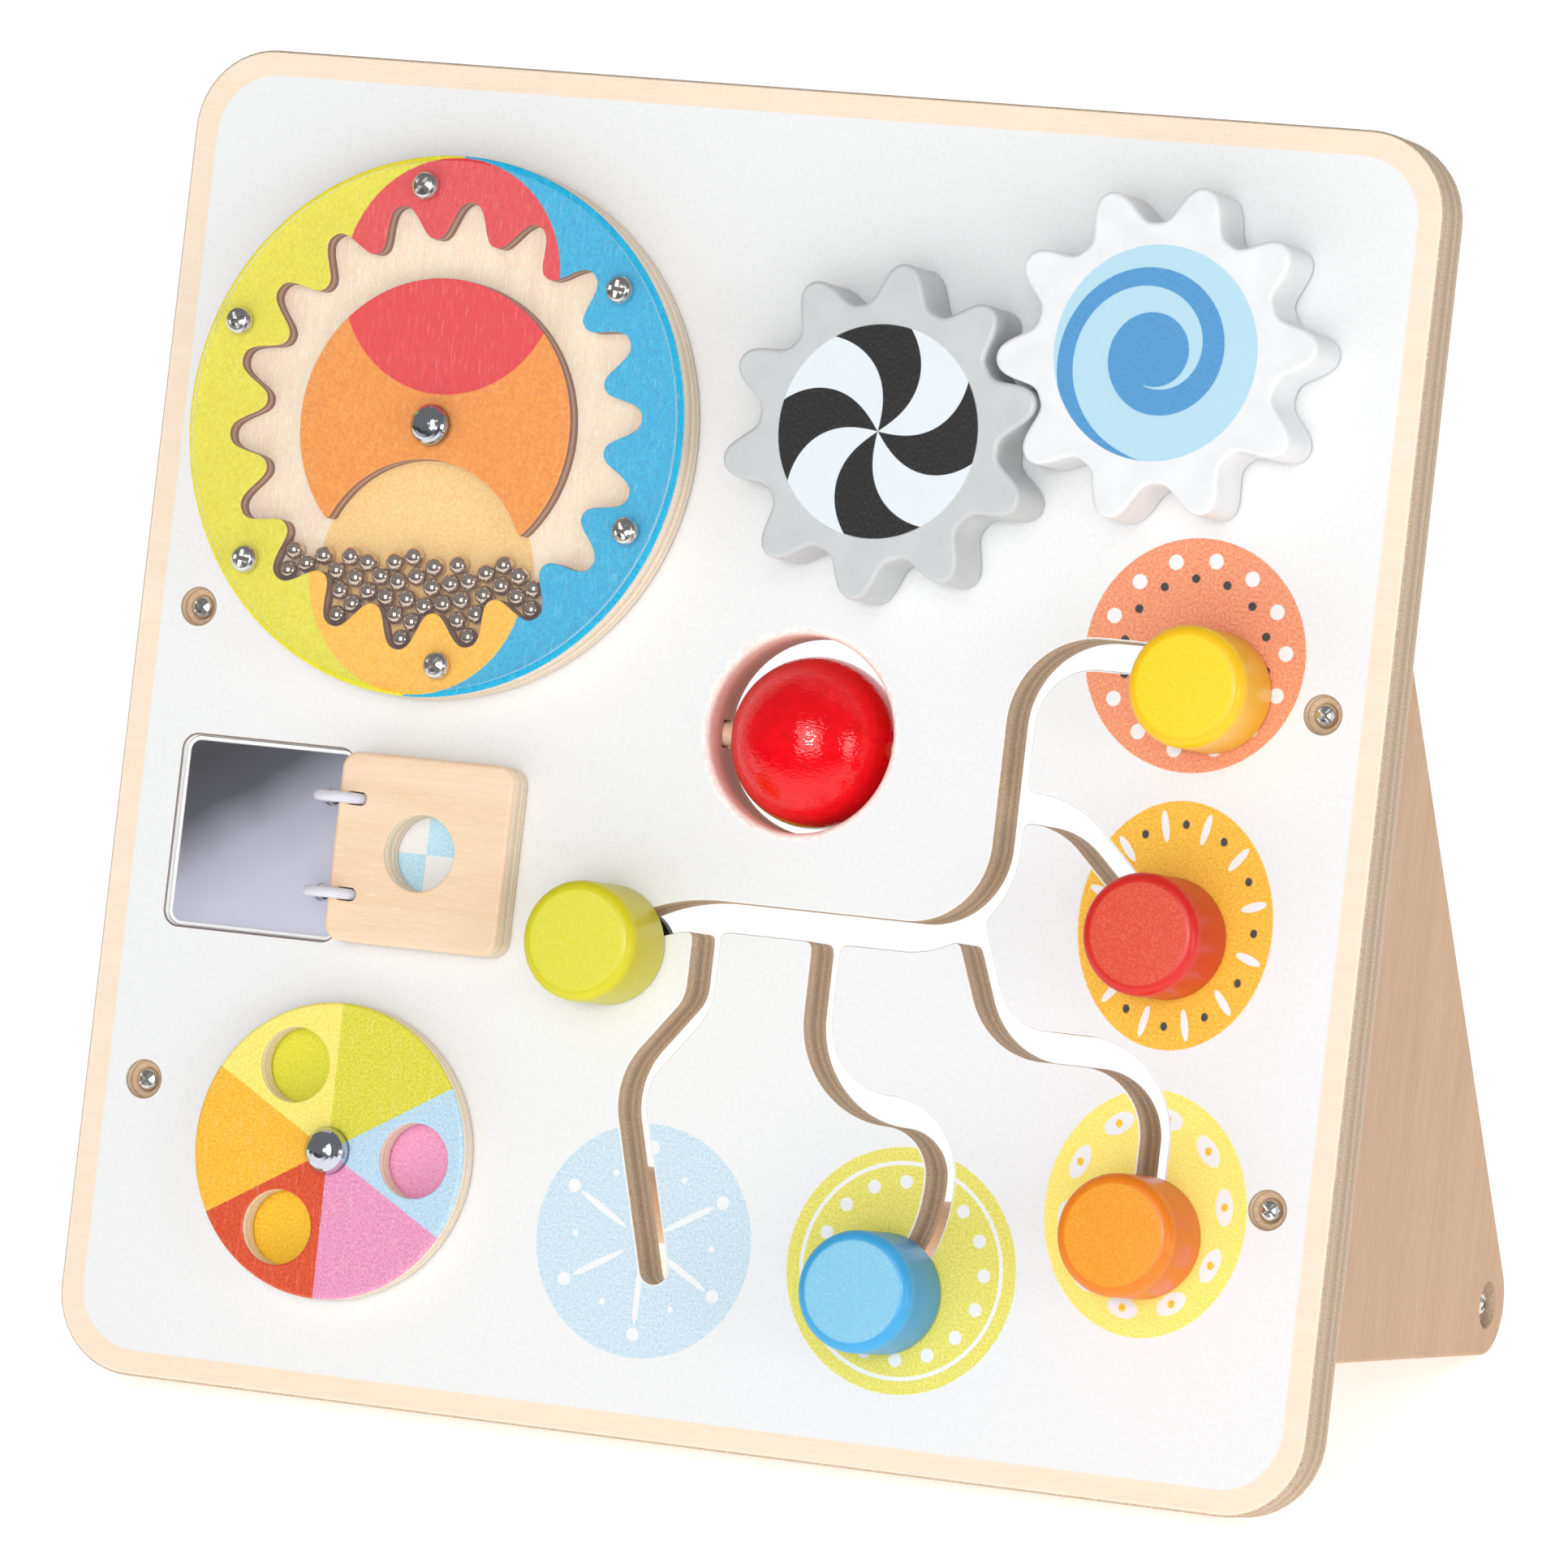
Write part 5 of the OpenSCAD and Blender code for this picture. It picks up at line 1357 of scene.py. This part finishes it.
def clearCord():
    f = Finish("clearCord", 0.28)
    haze = f.noise(f.onBoard(), 1.0, 2.0)
    f.shader.inputs["Subsurface Weight"].default_value = 0.3
    f.shader.inputs["Subsurface Scale"].default_value = 0.002
    return f.finish(f.mix(haze, tint(226, 226, 234), tint(206, 206, 218)), f.grade(haze, 0.3, 0.7, 0.2, 0.3))


def blackDisc():
    f = Finish("blackDisc", 0.45)
    grit = f.noise(f.onBoard(), 2.5, 3.0, 0.6)
    f.bump(grit, 0.15)
    return f.finish(f.mix(grit, tint(34, 34, 37), tint(52, 52, 56)), f.grade(grit, 0.3, 0.7, 0.38, 0.56))


def domeMetal(name, level):
    # Chromed dome over the face at a level, painted darker down at its foot as a painted dark reflection
    # round its rim
    f = Finish(name, 0.07, 0.0, 0.1, 1.0)
    place = f.onBoard()
    z = f.split(place)[2]
    wear = f.noise(place, 1.2, 3.0, 0.6)
    f.bump(wear, 0.004)
    # painted dark reflection: the chrome darkens from its foot up to 1.8 mm over the face
    return f.finish(f.mix(f.grade(z, level + 0.4, level + 1.8), tint(112, 112, 118), tint(208, 213, 222)),
                    f.grade(wear, 0.3, 0.75, 0.05, 0.1))


keptFinishes = {
    # the steel balls' warm brownish tint is a painted reflection of the wood round them
    metal("ballSteel", tint(226, 206, 190), 0.1, 0.01): ["steel_balls"],
    domeMetal("drumDome", drumSet["coverTop"]): ["drum_bolt"],
    domeMetal("spinnerDome", spinnerSet["high"]): ["spinner_bolt"],
    metal("brightSteel", tint(232, 230, 228), 0.2, 0.04):
        ["panel_screws", "crossbar_screws", "drum_cover_screws", "drum_washers", "drum_nut",
         "spinner_washers", "spinner_nut", "gear_spacers", "grey_gear_washer", "white_gear_washer",
         "grey_gear_screw", "white_gear_screw", "keeper_screws"]
        + [f"{colour}_screw" for colour in knobShades],
    mirrorGlass(): ["mirror_plate"],
    clearCord(): ["upper_hinge_loop", "lower_hinge_loop"],
    turnedWood("turnedWood", 0.55, 0.0, 0.1, 0.4):
        ["ball_axle", "axle_keepers", "grey_gear_pin", "white_gear_pin"]
        + [f"{colour}_peg" for colour in knobShades],
    blackDisc(): [f"{colour}_retainer" for colour in knobShades],
}
for finish, names in keptFinishes.items():
    for name in names:
        for slot in nodes[name].material_slots:
            slot.material = finish
print("kept pieces finished")


# Floor

# In metres: half its width, its front end, where it bends up and by what radius, and its top. In
# a reflection it darkens between the last two distances, as a table ends in a dark room.
floorSet = {"half": 9, "front": -7, "bendAt": 5, "bendRadius": 2.5, "top": 9, "darkFrom": -0.22,
            "darkTo": -0.45}


def makeFloor():
    # A level floor that runs far behind and bends up into a pale backdrop
    s = floorSet
    flatRun = np.stack([np.linspace(s["front"], s["bendAt"], 13), np.zeros(13)], 1)
    bend = arc(s["bendAt"], s["bendRadius"], s["bendRadius"], -90, 0, 12)[1:]
    profile = np.concatenate([flatRun, bend, [(s["bendAt"] + s["bendRadius"], s["top"])]])
    x, row = np.meshgrid([-s["half"], s["half"]], np.arange(len(profile)))
    points = np.stack([x.ravel(), profile[row.ravel(), 0], profile[row.ravel(), 1]], 1)
    rows = np.arange(len(profile) - 1) * 2
    mesh = bpy.data.meshes.new("floor")
    mesh.from_pydata(points.tolist(), [], np.stack([rows, rows + 1, rows + 3, rows + 2], 1).tolist())
    mesh.polygons.foreach_set("use_smooth", np.ones(len(rows), bool))
    f = Finish("floorPaper", 0.8)
    tooth = f.noise(f.place, 4.0, 3.0)
    f.bump(tooth, 0.02)
    f.shader.inputs["Emission Color"].default_value = (1, 1, 1, 1)
    rays = f.tree.nodes.new("ShaderNodeLightPath").outputs["Is Glossy Ray"]
    gone = f.both(rays, f.grade(f.split(f.place)[1], s["darkFrom"], s["darkTo"]))
    f.feed(f.shader.inputs["Emission Strength"], f.grade(gone, 0.0, 1.0, lightSet["floorGlow"], 0.0))
    paper = f.mix(tooth, tint(254, 254, 254), tint(251, 251, 251))
    mesh.materials.append(f.finish(f.mix(gone, paper, tint(70, 70, 72))))
    floor = bpy.data.objects.new("floor", mesh)
    scene.collection.objects.link(floor)


makeFloor()
print("floor made")
